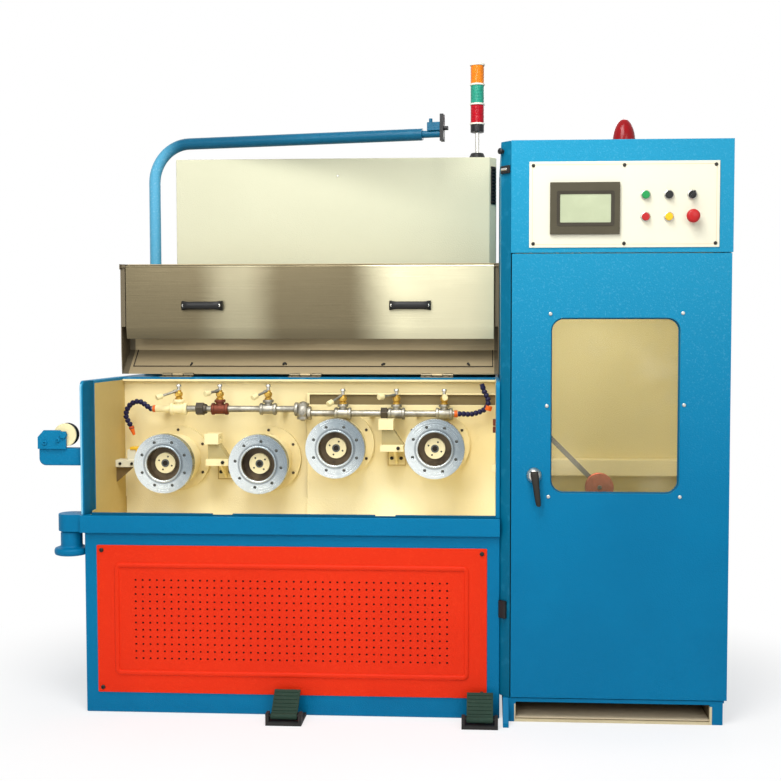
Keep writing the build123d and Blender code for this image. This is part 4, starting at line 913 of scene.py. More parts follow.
OUT = Vector((0, -1, 0))
UP = Vector((0, 0, 1))
RIGHT = Vector((1, 0, 0))
POST_CORNER = 0.022
post = bmesh.new()
low, high = tub_left
drawn(post, [(low.x, low.y, low.z), (low.x + POST_EDGE, low.y, low.z), (high.x, post_end, low.z),
             (high.x, high.y, low.z), (low.x, high.y, low.z)], (0, 0, high.z - low.z))
corner = [edge for edge in post.edges
          if all(vert.co.z > high.z - 0.001 and vert.co.y < low.y + 0.001 for vert in edge.verts)]
bmesh.ops.bevel(post, geom=corner, offset=POST_CORNER, offset_type="OFFSET", segments=6, profile=0.5,
                affect="EDGES")
piece_from("tub_left_post", post, left_wall_paint, "machine", ("tub_left_wall",), 0.002)
# The pan liner is the lighter cream, painted light, with painted shade on its left skin.
LINER = 0.0005
LINER_T = 0.003
LINER_RISE = 0.012
RAIL_REACH = 0.026
plate_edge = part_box("bearing_plate")[0].x
wall_front = back_low.y + RAIL_REACH
skins = ((tub_left[1].x - LINER_T, tub_left[1].x + LINER, pan_low.y, wall_front),
         (tub_right[0].x - LINER, tub_right[0].x + LINER_T, pan_low.y, bearing_front),
         (tub_left[1].x, plate_edge, wall_front - LINER, wall_front + LINER_T),
         (plate_edge - LINER, tub_right[0].x, bearing_front - LINER, bearing_front + LINER_T),
         (plate_edge - LINER, plate_edge + LINER_T, bearing_front, wall_front + LINER))
liner = [((x0, y0, pan_low.z), (x1, y1, bed[1].z + LINER_RISE)) for x0, x1, y0, y1 in skins]
slab_piece("pan_liner", liner, liner_cream)
print("lathe, slab and outline ready")

# %% [markdown]
# ## Recipes for what repeats
# Screws, perforations, hose beads and louvre slats repeat, so Geometry Nodes place them: the source gives
# points, an Object Info node brings in one piece, and Instance on Points sets it on each. Realize Instances
# makes it real mesh, and the result is kept as a plain mesh.


# %% Geometry Nodes recipes
def recipe(name, **inputs):
    """A geometry tree with a geometry in and out, and named inputs."""
    tree = bpy.data.node_groups.new(name, "GeometryNodeTree")
    tree.interface.new_socket("Geometry", in_out="OUTPUT", socket_type="NodeSocketGeometry")
    tree.interface.new_socket("Geometry", in_out="INPUT", socket_type="NodeSocketGeometry")
    for label, kind in inputs.items():
        tree.interface.new_socket(label, in_out="INPUT", socket_type="NodeSocket" + kind)
    return Graph(tree)


def close_recipe(graph, geometry):
    """Ends a recipe: real mesh with its finish."""
    whole = graph.node("GeometryNodeRealizeInstances", None, {"Geometry": geometry})
    painted = graph.node("GeometryNodeSetMaterial", None,
                         {"Geometry": whole, "Material": graph.node("NodeGroupInput", out="Finish")})
    graph.node("NodeGroupOutput", None, {"Geometry": painted})


def cook(graph, source, **values):
    """Runs a recipe on a source mesh and gives back a plain mesh."""
    holder = linked("source", source)
    modifier = holder.modifiers.new("recipe", "NODES")
    modifier.node_group = graph.tree
    for item in graph.tree.interface.items_tree:
        if item.in_out == "INPUT" and item.name in values:
            modifier[item.identifier] = values[item.name]
    mesh = evaluated_mesh(holder)
    bpy.data.objects.remove(holder)
    return mesh


def pattern_piece(mesh_code, outward=True):
    """A temporary object that a recipe repeats."""
    mesh = bpy.data.meshes.new("pattern")
    if outward:
        bmesh.ops.recalc_face_normals(mesh_code, faces=mesh_code.faces)
    mesh_code.to_mesh(mesh)
    mesh_code.free()
    return linked("pattern", mesh)


def entry(graph, name):
    """One of a recipe's inputs."""
    return graph.node("NodeGroupInput", out=name)


def brought_in(graph):
    """The piece that a recipe repeats."""
    return graph.node("GeometryNodeObjectInfo", {"transform_space": "ORIGINAL"},
                      {"Object": entry(graph, "Piece")}, out="Geometry")


set_out = recipe("set_out_on_points", Piece="Object", Turn="Vector", Seed="Int", Finish="Material")
spin = set_out.node("FunctionNodeRandomValue", {"data_type": "FLOAT_VECTOR"},
                    {1: entry(set_out, "Turn"), "Seed": entry(set_out, "Seed")})
set_sockets = {"Points": entry(set_out, "Geometry"), "Instance": brought_in(set_out), "Rotation": spin}
close_recipe(set_out, set_out.node("GeometryNodeInstanceOnPoints", None, set_sockets))

bead_string = recipe("beads_on_a_line", Piece="Object", Spacing="Float", Finish="Material")
line = bead_string.node("GeometryNodeMeshToCurve", None, {0: entry(bead_string, "Geometry")})
stops = bead_string.node("GeometryNodeCurveToPoints", {"mode": "LENGTH"},
                         {"Curve": line, "Length": entry(bead_string, "Spacing")})
bead_sockets = {"Points": stops, "Instance": brought_in(bead_string), "Rotation": stops.output("Rotation")}
close_recipe(bead_string, bead_string.node("GeometryNodeInstanceOnPoints", None, bead_sockets))


def point_mesh(points):
    """A mesh of loose points."""
    mesh = bpy.data.meshes.new("points")
    mesh.from_pydata([tuple(point) for point in points], [], [])
    return mesh


SCREW_SEED = 7


def repeated(pattern, points, material, turn=(0, 0, 0), seed=1):
    """A plain mesh of the pattern on each point; the pattern is used up."""
    mesh = cook(set_out, point_mesh(points), Piece=pattern, Turn=turn, Seed=seed, Finish=material)
    bpy.data.objects.remove(pattern)
    return mesh


def screws(name, points, radius, height, facing, material, body, sides=14):
    """Pan-head screws with a round socket, turned at random, on points."""
    head = bmesh.new()
    profile = [(0.0, radius), (height * 0.55, radius), (height * 0.88, radius * 0.84),
               (height, radius * 0.62), (height, radius * 0.44), (height * 0.4, radius * 0.4),
               (height * 0.4, 0.0)]
    turned(head, (0, 0, 0), facing, profile, sides)
    turn = tuple(abs(part) * 6.28 for part in facing)
    mesh = repeated(pattern_piece(head), points, material, turn, SCREW_SEED)
    return settle(name, mesh, material, body)


print("recipes", set_out.tree.name, bead_string.tree.name)

# %% [markdown]
# ## The red front panel
# A pressed steel panel with a raised bead round a field of punched holes. The bead is a set of rounded loops
# bridged together. The field is one tile with an octagonal hole, set out on a grid of 44 by 12.

# %% Red panel
HOLE_COLUMNS = 44
HOLE_ROWS = 12
HOLE_PITCH_X = 0.0231
HOLE_PITCH_Z = 0.0229
HOLE_RADIUS = 0.0036
PANEL_DEPTH = 0.0035
panel_low, panel_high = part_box("front_panel")
panel_front = base[0].y - 0.004
field_x = (panel_low.x + panel_high.x) / 2
field_z = (panel_low.z + panel_high.z) / 2
half_w = HOLE_COLUMNS * HOLE_PITCH_X / 2
half_h = HOLE_ROWS * HOLE_PITCH_Z / 2

tile = bmesh.new()
square = []
hole = []
hole_back = []
for k in range(8):
    angle = math.radians(45 * k)
    across, upward = math.cos(angle), math.sin(angle)
    reach = 1.0 / max(abs(across), abs(upward))
    square.append((across * reach * HOLE_PITCH_X / 2, 0, upward * reach * HOLE_PITCH_Z / 2))
    hole.append((across * HOLE_RADIUS, 0, upward * HOLE_RADIUS))
    hole_back.append((across * HOLE_RADIUS, PANEL_DEPTH, upward * HOLE_RADIUS))
bridged(tile, [square, hole, hole_back])
grid = []
for column in range(HOLE_COLUMNS):
    for row in range(HOLE_ROWS):
        x = field_x - half_w + HOLE_PITCH_X * (column + 0.5)
        z = field_z - half_h + HOLE_PITCH_Z * (row + 0.5)
        grid.append((x, panel_front, z))
field_mesh = repeated(pattern_piece(tile, outward=False), grid, red)

BORDER = 0.056
BEAD = 0.016
BEAD_RISE = 0.005
BEAD_STEPS = 8
BEAD_CORNER = 0.020
EDGE_CORNER = 0.004
EDGE_ROUND = 0.001
SCREW_INSET = 0.016


def panel_loop(inset, corner, y):
    """A loop round the panel, in from its edge."""
    return rounded_loop(panel_low.x + inset, panel_high.x - inset, panel_low.z + inset, panel_high.z - inset,
                        corner, y)


pressed = bmesh.new()
pressed.from_mesh(field_mesh)
bmesh.ops.remove_doubles(pressed, verts=pressed.verts, dist=0.00002)
loops = [panel_loop(0.0, EDGE_CORNER, base[0].y - 0.0002), panel_loop(0.0, EDGE_CORNER,
                                                                      panel_front + EDGE_ROUND),
         panel_loop(EDGE_ROUND, EDGE_CORNER, panel_front)]
for k in range(BEAD_STEPS + 1):
    angle = math.pi * k / BEAD_STEPS
    inward = BEAD * (1 - math.cos(angle)) / 2
    loops.append(panel_loop(BORDER + inward, BEAD_CORNER - inward, panel_front - BEAD_RISE * math.sin(angle)))
loops.append(rounded_loop(field_x - half_w, field_x + half_w, field_z - half_h, field_z + half_h, 0.0001,
                          panel_front))
bridged(pressed, loops)
panel_mesh = bpy.data.meshes.new("red_panel")
pressed.to_mesh(panel_mesh)
pressed.free()
settle("red_panel", panel_mesh, red, "machine", ("front_panel",))
# A dark sheet behind the perforations: painted shade inside the housing.
slab_piece("panel_backing", [((field_x - half_w, base[0].y - 0.0006, field_z - half_h),
                              (field_x + half_w, base[0].y + 0.0005, field_z + half_h))],
           hole_dark)
corner_points = []
for x in (panel_low.x + SCREW_INSET, panel_high.x - SCREW_INSET):
    for z in (panel_low.z + SCREW_INSET, panel_high.z - SCREW_INSET):
        corner_points.append((x, panel_front, z))
screws("panel_screws", corner_points, 0.007, 0.004, OUT, dark_steel, "machine")
print("perforations", len(grid))

# %% [markdown]
# ## In the tub
# Each bearing flange is held by six screws, each die holder by three, and the far left block by two. Their
# places follow the CAD boxes. The right wall carries two rusty hinge blocks and a stop.

# %% Tub screws
FLANGE_PCD = 0.098
FLANGE_SCREWS = 6
FLANGE_T = 0.012
flange_points = []
for number, centre in enumerate(capstan_centres):
    wall_y = bearing_front if number > 1 else wall_front
    flange_points += circle_points(centre, FLANGE_PCD, FLANGE_SCREWS, wall_y - FLANGE_T,
                                   math.pi / FLANGE_SCREWS)
screws("flange_screws", flange_points, 0.0046, 0.005, OUT, union_steel, "machine")
holder_points = []
for node in ("die_holder_left", "die_holder_right"):
    low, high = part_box(node)
    right = high.x + (HOLDER_SHIFT if node == "die_holder_right" else 0.0)
    for x in (right - 0.048, right - 0.016):
        holder_points.append((x, high.y - 0.014, low.z + 0.026))
    holder_points.append((right - 0.018, low.y, low.z + 0.07))
screws("holder_screws", holder_points, 0.006, 0.006, OUT, dark_steel, "machine")
inlet_low, inlet_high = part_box("inlet_die_block")
inlet_points = [(inlet_low.x + step, inlet_low.y, inlet_low.z + 0.012) for step in (0.016, 0.056)]
screws("inlet_screws", inlet_points, 0.005, 0.005, OUT, dark_steel, "machine")
clip_x = inlet_high.x - 0.004
clip_y = (inlet_low.y + 0.006, inlet_low.y + 0.034)
clip_top = inlet_high.z + 0.01
slab_piece("inlet_clip", [((clip_x - 0.024, clip_y[0], inlet_high.z), (clip_x, clip_y[1], clip_top)),
                          ((clip_x - 0.004, clip_y[0], inlet_high.z - 0.024),
                           (clip_x + 0.006, clip_y[1], clip_top))], yellow, 0.002)
# The gusset under the inlet block is dark brown: painted shade under the block.
GUSSET_T = 0.008
gusset = bmesh.new()
gusset_y = inlet_low.y + 0.010
drawn(gusset, [(inlet_low.x, gusset_y, inlet_low.z), (inlet_low.x + 0.060, gusset_y, inlet_low.z),
               (inlet_low.x, gusset_y, inlet_low.z - 0.052)], (0, GUSSET_T, 0))
piece_from("inlet_gusset", gusset, bracket_brown, "machine", width=0.001)
wall_x = tub_right[0].x
hinge_blocks = [((wall_x - 0.009, -0.262, z0), (wall_x + 0.001, -0.226, z1))
                for z0, z1 in ((0.896, 0.914), (0.918, 0.938))]
slab_piece("wall_hinge_blocks", hinge_blocks, tee_rust, 0.0015)
slab_piece("wall_stop_block", [((wall_x - 0.012, -0.258, 0.766), (wall_x + 0.001, -0.232, 0.792))], cream,
           0.002)
print("tub screws", len(flange_points) + len(holder_points) + len(inlet_points))

# %% [markdown]
# ## Capstan faces
# The face ring has a bright raised lip round its recess, a dark socket screw sunk in each of its eight holes,
# and a steel bush in the middle of the hub. They ride on their own capstan, so they turn with it.

# %% Capstan faces
HOLE_PCD = 0.0764
HUB_PCD = 0.0231
HUB_DEPTH = 0.026
LIP = [(-0.001, 0.0552), (0.0028, 0.0556), (0.0038, 0.0566), (0.0038, 0.0600), (0.0028, 0.0612),
       (-0.001, 0.0616)]
BUSH = [(-0.001, 0.0088), (0.0018, 0.0088), (0.0018, 0.0128), (-0.001, 0.0136)]
BORE = [(-0.001, 0.0086), (0.0006, 0.0086), (0.0006, 0.0)]
for number, centre in enumerate(capstan_centres, start=1):
    body = f"capstan_{number}"
    aluminium = bpy.data.materials[f"turned_aluminium_{number}"]
    turn = math.radians(CAPSTAN_TURN[number - 1])
    hub_face = (centre.x, centre.y + HUB_DEPTH, centre.z)
    turned_piece(f"{body}_lip", [(centre, OUT, LIP, 64)], aluminium, body, closed=True)
    sunk_points = circle_points(centre, HOLE_PCD, 8, centre.y + 0.0045, turn)
    screws(f"{body}_screws", sunk_points, 0.0050, 0.004, OUT, hole_steel, body)
    turned_piece(f"{body}_bush", [(hub_face, OUT, BUSH, 32)], hole_steel, body,
                 closed=True)
    # The bore is a dark disc: painted shade in the hole of the hub.
    turned_piece(f"{body}_bore", [(hub_face, OUT, BORE, 24)], seam_and_shade_black, body)
    hub_points = circle_points(centre, HUB_PCD, 4, centre.y + HUB_DEPTH + 0.003, turn + math.pi / 4)
    screws(f"{body}_hub_screws", hub_points, 0.0032, 0.002, OUT, dark_steel, body)
print("capstan faces", len(capstan_centres))

# %% [markdown]
# ## Spray manifold fittings
# Cast tees have a thick band at each mouth, a hexagon union joins the pipes, and each branch ends in a small
# brass ball valve with a round lever and a cream knob. Bands and valves are turned; the union has six sides.

# %% Manifold fittings
TUB_LEFT = tub_left[0].x
TEE_X = (0.241, 0.383, 0.549, 0.804, 0.986, 1.147)
MAN_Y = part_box("spray_valves")[0].y + 0.010
MAN_Z = bed[1].z + 0.322
MAN_STEP = 0.014
HIGH_TEES = 3
TEE_HALF = 0.027
PIPE_IN = 0.011
ELBOW_X = 0.668
UNION_X = 0.315
CLAMP_X = 0.944
PAINTED_X = 0.160
BRANCH = [(0, 0.011), (0, 0.0175), (0.002, 0.0185), (0.008, 0.0185), (0.010, 0.0165), (0.010, 0.011)]


def on_pipe(place, low=False):
    """A place along the manifold; its right half is one step lower."""
    return Vector((TUB_LEFT + place, MAN_Y, MAN_Z - MAN_STEP if low else MAN_Z))


def band(mesh_code, centre, radius, width):
    """A rounded collar round the pipe."""
    half = width / 2
    profile = [(-half, PIPE_IN), (-half, radius - 0.002), (-half + 0.002, radius), (half - 0.002, radius),
               (half, radius - 0.002), (half, PIPE_IN)]
    turned(mesh_code, centre, RIGHT, profile, 24, closed=True)


bands = bmesh.new()
first_bands = bmesh.new()
rust = bmesh.new()
for k, place in enumerate(TEE_X):
    target = (first_bands, rust)[k] if k < 2 else bands
    low = k >= HIGH_TEES
    for side in (-1, 1):
        band(target, on_pipe(place + side * (TEE_HALF - 0.004), low), 0.0205, 0.011)
    turned(target, on_pipe(place, low) + UP * 0.022, UP, BRANCH, 24, closed=True)
for side in (-1, 1):
    band(bands, on_pipe(ELBOW_X + side * 0.022, side > 0), 0.0235, 0.012)
casting = []
for k in range(13):
    tilt = math.pi * k / 12
    casting.append((-0.034 * math.cos(tilt), 0.0245 * math.sin(tilt)))
turned(bands, on_pipe(ELBOW_X) - UP * MAN_STEP / 2, UP, casting, 28)
piece_from("manifold_bands", bands, zinc, "machine")
piece_from("painted_tee_bands", first_bands, cream, "machine")
piece_from("rusty_tee_bands", rust, tee_rust, "machine")
UNION_CONE = [(0, PIPE_IN), (0, 0.018), (0.01, 0.016), (0.01, PIPE_IN)]
turned_piece("pipe_unions", [(on_pipe(UNION_X - 0.013), RIGHT, tube(0.026, PIPE_IN, 0.0225), 6),
                             (on_pipe(UNION_X + 0.013), RIGHT, UNION_CONE, 24),
                             (on_pipe(CLAMP_X - 0.011, True), RIGHT, tube(0.022, PIPE_IN, 0.0215), 6)],
             union_steel, "machine", width=0.0012, closed=True)


def tee_sleeve(place):
    """A thin coat of paint or rust over one tee."""
    return [(on_pipe(place - TEE_HALF), RIGHT, tube(2 * TEE_HALF, PIPE_IN, 0.0176), 32),
            (on_pipe(place) + UP * 0.012, UP, tube(0.0185, 0.009, 0.0136), 32)]


painted_len = TEE_X[0] - TEE_HALF - PAINTED_X
painted_run = tee_sleeve(TEE_X[0]) + [(on_pipe(PAINTED_X), RIGHT, tube(painted_len, 0.010, 0.0117), 32)]
turned_piece("painted_pipe", painted_run, cream, "machine", closed=True)
turned_piece("rusty_tee_skin", tee_sleeve(TEE_X[1]), tee_rust, "machine", closed=True)
KNOB_AT = ((-0.054, -0.045, -0.020), (-0.032, -0.045, -0.008), (-0.037, -0.045, -0.019),
           (-0.037, -0.045, -0.025), (-0.048, -0.045, -0.004), (0.004, -0.045, -0.005))
VALVE = [(0, 0.0125), (0.008, 0.0125), (0.008, 0.0095), (0.011, 0.0095), (0.014, 0.0125), (0.020, 0.0138),
         (0.026, 0.0125), (0.029, 0.0085), (0.034, 0.0085)]
GLAND = [(0.008, 0.0075), (0.018, 0.0075), (0.018, 0.0)]
CAP = [(0, 0.0062), (0.010, 0.0062), (0.012, 0.009), (0.017, 0.009), (0.020, 0.006), (0.020, 0.0)]
KNOB = [(0, 0.0060), (0.003, 0.0094), (0.020, 0.0100), (0.023, 0.0088), (0.024, 0.0)]
brasses, caps, levers, knobs = [], [], [], []
for k, place in enumerate(TEE_X):
    foot = on_pipe(place, k >= HIGH_TEES) + UP * 0.030
    brasses += [(foot, UP, VALVE, 20), (foot + Vector((0, -0.002, 0.02)), OUT, GLAND, 6)]
    caps.append((foot + UP * 0.034, UP, CAP, 16))
    hub = foot + UP * 0.033
    reach = Vector(KNOB_AT[k])
    length = reach.length
    reach.normalize()
    levers.append((hub, reach, [(0, 0.0060), (0.018, 0.0060), (0.022, 0.0042), (length - 0.008, 0.0046)], 12))
    knobs.append((hub + reach * (length - 0.012), reach, KNOB, 20))
turned_piece("valve_bodies", brasses, brass, "machine", ("spray_valves",))
turned_piece("valve_caps", caps, bright_steel, "machine")
turned_piece("valve_lever_arms", levers, zinc, "machine", ("valve_levers",))
turned_piece("valve_knobs", knobs, knob_cream, "machine")
print("tees and valves", len(TEE_X))

# %% [markdown]
# ## Jointed coolant hoses
# Machine-tool hose is a string of ball-and-socket links that hold any bend. One link is turned, then set
# along the route by the bead recipe. The nozzle and adaptors are orange.

# %% Hoses
BEAD_STEP = 0.0135


def link_profile(size):
    """One link: a socket skirt and a ball."""
    return [(-0.006, size * 0.62), (-0.005, size * 0.92), (-0.001, size), (0.003, size * 0.94),
            (0.006, size * 0.7), (0.0085, size * 0.55)]


def jointed_hose(name, points, node):
    """Links along a smooth line through the points; gives back the last place and direction."""
    curve = bpy.data.curves.new("route", "CURVE")
    curve.dimensions = "3D"
    curve.resolution_u = 24
    spline = curve.splines.new("BEZIER")
    spline.bezier_points.add(len(points) - 1)
    for knot, point in zip(spline.bezier_points, points):
        knot.co = point
        knot.handle_left_type = "AUTO"
        knot.handle_right_type = "AUTO"
    holder = linked("route", curve)
    route = evaluated_mesh(holder)
    bpy.data.objects.remove(holder)
    tail = [vertex.co.copy() for vertex in route.vertices][-2:]
    link = bmesh.new()
    turned(link, (0, 0, 0), UP, link_profile(0.0094), 18)
    pattern = pattern_piece(link)
    mesh = cook(bead_string, route, Piece=pattern, Spacing=BEAD_STEP, Finish=hose_navy)
    bpy.data.objects.remove(pattern)
    settle(name, mesh, hose_navy, "machine", (node,))
    heading = (tail[1] - tail[0]).normalized()
    return tail[1] - heading * 0.004, heading


LEFT_START = on_pipe(0.150)
RIGHT_START = on_pipe(1.193, True)
LEFT_STEPS = ((-0.006, 0, 0), (-0.055, 0, 0.024), (-0.092, 0, -0.014), (-0.074, 0, -0.066))
RIGHT_STEPS = ((0.006, 0, 0), (0.058, 0, 0.002), (0.100, 0, 0.030), (0.084, 0, 0.088))
NOZZLE = [(0, 0.009), (0.004, 0.0095), (0.010, 0.0075), (0.030, 0.0045), (0.030, 0.003), (0.022, 0.003)]
HOSE_END = [(0, 0.0085), (0.006, 0.009), (0.012, 0.008), (0.018, 0.008), (0.018, 0.0)]
LEFT_ADAPTOR = [(0.001, 0.0105), (0.003, 0.0122), (0.010, 0.0122), (0.012, 0.0112)]
RIGHT_ADAPTOR = [(-0.012, 0.0112), (-0.010, 0.0122), (-0.003, 0.0122), (0.0, 0.0105)]
COLLAR = [(0, 0.0118), (0.003, 0.0126), (0.013, 0.0126), (0.016, 0.0118)]
left_route = [LEFT_START + Vector(step) for step in LEFT_STEPS]
right_route = [RIGHT_START + Vector(step) for step in RIGHT_STEPS]
tip, heading = jointed_hose("hose_links_left", left_route, "coolant_hose_left")
fittings = [(tip, heading, NOZZLE, 20)]
tip, heading = jointed_hose("hose_links_right", right_route, "coolant_hose_right")
turned_piece("hose_end_right", [(tip, heading, HOSE_END, 20)], hose_navy, "machine")
fittings += [(LEFT_START, RIGHT, LEFT_ADAPTOR, 20), (RIGHT_START, RIGHT, RIGHT_ADAPTOR, 20),
             (RIGHT_START + Vector((0.100, 0, 0.012)), Vector((0.25, 0, 0.95)), COLLAR, 20)]
turned_piece("hose_fittings", fittings, orange, "machine")
print("hose link spacing", BEAD_STEP)

# %% [markdown]
# ## The lid
# A stainless hood with a hanging flap. The handles are moulded grips with round bodies, held by bright
# screws at their feet, and a row of bolts holds the seam strip above the hinges.


# %% Lid fittings
GRIP_STEPS = 22
GRIP_SIDES = 12
GRIP_FOOT = 0.16


def grip(mesh_code, middle, half, rise, radius):
    """A bow handle: rounded sections along an arched line."""
    sections = []
    for k in range(GRIP_STEPS + 1):
        share = k / GRIP_STEPS
        along = (share - 0.5) * 2 * half
        edge = min(share, 1 - share)
        arch = min(1.0, edge / GRIP_FOOT)
        lift = rise * arch ** 0.6 if edge > 0 else 0.0
        size = radius * (1.25 - 0.25 * arch)
        ring = []
        for m in range(GRIP_SIDES):
            angle = 2 * math.pi * m / GRIP_SIDES
            ring.append(middle + Vector((along, -lift - size * 0.62 + size * 0.6 * math.cos(angle),
                                         size * math.sin(angle))))
        sections.append(ring)
    capped(mesh_code, sections)


handle_low, handle_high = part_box("lid_handles")
handles = bmesh.new()
handle_screws = []
HANDLE_HALF = 0.071
handle_z = (handle_low.z + handle_high.z) / 2
for x in (handle_low.x + HANDLE_HALF, handle_high.x - HANDLE_HALF):
    grip(handles, Vector((x, handle_high.y, handle_z)), HANDLE_HALF, 0.018, 0.0135)
    for side in (-1, 1):
        handle_screws.append((x + side * (HANDLE_HALF - 0.010), handle_high.y - 0.0245, handle_z))
piece_from("lid_grips", handles, black, "flap", ("lid_handles",))
screws("lid_grip_screws", handle_screws, 0.0065, 0.004, OUT, bright_steel, "flap")
hinge_low, hinge_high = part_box("lid_hinges")
HINGE_CENTRES = (0.220, 0.665, 1.120)
leaf_points = []
for place in HINGE_CENTRES:
    for step in (-0.042, -0.014, 0.014, 0.042):
        leaf_points.append((TUB_LEFT + place + step, hinge_low.y + 0.012, tub_left[1].z + 0.003))
screws("hinge_screws", leaf_points, 0.004, 0.002, UP, dark_steel, "machine")
lid_low, lid_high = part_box("lid_hood")
SEAM_X = (0.254, 0.586, 0.930, 1.228)
seam_points = [(TUB_LEFT + x, lid_low.y + 0.047, hinge_high.z + 0.030) for x in SEAM_X]
slope = Vector((0, -0.66, 0.75)).normalized()
screws("lid_seam_bolts", seam_points, 0.008, 0.006, slope, dark_steel, "lid")
SLOPE_LOW = Vector((0, lid_low.y + 0.016, hinge_high.z + 0.0035))
SLOPE_HIGH = Vector((0, lid_low.y + 0.096, hinge_high.z + 0.0805))


def slope_point(x, share):
    """A place on the hood's inner slope, just proud of it."""
    spot = SLOPE_LOW.lerp(SLOPE_HIGH, share) + slope * 0.0004
    return Vector((x, spot.y, spot.z))


SEAM_T = 0.003
seams = bmesh.new()
seam_x0 = lid_low.x + 0.034
seam_x1 = lid_high.x - 0.020
seam_rows = ((seam_x0, seam_x1, 0.24, 0.265), (seam_x0, seam_x0 + SEAM_T, 0.265, 0.98),
             (seam_x1 - SEAM_T, seam_x1, 0.265, 0.98))
for first, second, share0, share1 in seam_rows:
    corners = ((first, share0), (second, share0), (second, share1), (first, share1))
    drawn(seams, [slope_point(x, share) for x, share in corners], slope * -0.0012)
piece_from("hood_panel_seam", seams, seam_and_shade_black, "lid")
print("lid bolts", len(seam_points), "handles 2")

# %% [markdown]
# ## The electrical box and the signal tower
# The box has a louvre at its right corner: slats repeat down a frame. The tower's lenses are ribbed, so
# their profile is a row of small ridges that the lathe turns.

# %% Box and tower
box_low, box_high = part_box("electrical_box")
BOX_CORNER = 0.024
DIAGONAL = 0.7071
louvre_mid = Vector((box_high.x - BOX_CORNER / 2, box_low.y + BOX_CORNER / 2, 1.734))
across = Vector((DIAGONAL, DIAGONAL, 0))
outward = Vector((DIAGONAL, -DIAGONAL, 0))
LOUVRE_HALF_W = 0.011
LOUVRE_HALF_H = 0.066
SLAT_COUNT = 11
SLAT_PITCH = 0.0116
SLAT_LOW = -0.058


def leaning_plate(mesh_code, middle, sideways, half_w, half_h, along):
    """Adds an upright plate that faces sideways to the front, drawn out along a vector."""
    corners = ((-1, -1), (1, -1), (1, 1), (-1, 1))
    drawn(mesh_code, [middle + sideways * half_w * u + UP * half_h * v for u, v in corners], along)


plate = bmesh.new()
leaning_plate(plate, louvre_mid, across, LOUVRE_HALF_W, LOUVRE_HALF_H, outward * 0.003)
piece_from("louvre_plate", plate, black, "machine", width=0.0008)
slat = bmesh.new()
leaning_plate(slat, Vector((0, 0, 0)), across, 0.009, 0.002, outward * 0.005)
slat_points = [louvre_mid + UP * (SLAT_LOW + SLAT_PITCH * k) + outward * 0.002 for k in range(SLAT_COUNT)]
settle("louvre_slats", repeated(pattern_piece(slat), slat_points, rubber), rubber, "machine")
box_points = [(box_low.x + 0.580, box_low.y, box_high.z - 0.062)]
screws("box_screws", box_points, 0.0045, 0.003, OUT, bright_steel, "machine")
LENSES = (("red", red_lens), ("green", green_lens), ("amber", amber_lens))
RIDGES = 12
RING_LAP = 0.0015
RING_RISE = 0.0026
rings = []
for colour, glass in LENSES:
    low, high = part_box(f"tower_{colour}_lens")
    centre = Vector(((low.x + high.x) / 2, (low.y + high.y) / 2, low.z))
    radius = (high.x - low.x) / 2
    height = high.z - low.z
    profile = [(0.0, radius * 0.94)]
    for k in range(RIDGES):
        for share, width in ((0.25, 1.0), (0.75, 1.0), (0.98, 0.95)):
            profile.append((height * k / RIDGES + height * share / RIDGES, radius * width))
    turned_piece(f"ribbed_{colour}_lens", [(centre, UP, profile, 36)], glass, "machine",
                 (f"tower_{colour}_lens",))
    rings.append((centre, [(-0.006, radius * 0.5), (-0.006, radius + RING_LAP), (-0.005, radius + RING_RISE),
                           (-0.001, radius + RING_RISE), (0.0, radius + RING_LAP), (0.0, radius * 0.5)]))
tower_rings = bmesh.new()
for place, profile in rings:
    turned(tower_rings, place, UP, profile, 36, closed=True)
cap_profile = [(0.0, radius + RING_LAP), (0.001, radius + RING_RISE), (0.006, radius + RING_RISE),
               (0.0095, radius * 0.8), (0.011, radius * 0.4), (0.011, 0.0)]
turned(tower_rings, centre + UP * height, UP, cap_profile, 36)
piece_from("tower_bands", tower_rings, pale, "machine", ("tower_rings",))
pole_foot = (centre.x, centre.y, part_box("tower_stem")[0].z + 0.0225)
turned_piece("tower_pole", [(pole_foot, UP, tube(0.073, 0.0050, 0.0076), 24)], bright_steel, "machine",
             closed=True)
print("tower lenses", len(LENSES))

# %% [markdown]
# ## Inlet roller
# The roller is cream with a black rubber band at its rear, told apart by its depth in one finish. Two bolts
# hold the arm's plate, and a nut holds the roller's axle.


# %% Left end
def rimmed_roller(name, centre, half_width):
    """Cream with a black band at the rear."""
    finish = Finish(name, Specular_IOR_Level=0.2)
    rim = finish.y > centre.y + half_width * 0.25
    colour = finish.mix(rim, coat_colour(finish, *CREAM, 90.0), srgb(30, 29, 28))
    finish.feed(Base_Color=colour, Roughness=finish.noise(60.0) * 0.2 + 0.4)
    return finish.bump(finish.noise(300.0), 0.0002).material


roller_low, roller_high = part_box("inlet_roller")
roller_centre = (roller_low + roller_high) / 2
roller_paint = rimmed_roller("roller_paint", roller_centre, (roller_high.y - roller_low.y) / 2)
softened("inlet_roller", roller_paint, 0.002, "inlet_roller")
arm_low, arm_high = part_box("inlet_arm")
plate_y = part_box("inlet_plate")[0].y
plate_points = [(arm_low.x + x, plate_y, arm_high.z + z) for x, z in ((0.024, 0.018), (0.066, 0.026))]
screws("inlet_plate_bolts", plate_points, 0.008, 0.006, OUT, blue, "machine")
NUT = [(0, 0.012), (0.004, 0.012), (0.006, 0.010), (0.006, 0.0)]
turned_piece("roller_axle_nut", [((roller_centre.x, plate_y, roller_centre.z), OUT, NUT, 6)], blue, "machine",
             width=0.0008)
print("left end ready")

# %% [markdown]
# ## Control head
# The white plate has a fine printed border, an operator panel with a pale screen, two rows of push-buttons
# and an emergency stop. Buttons are turned; each colour is its own piece.

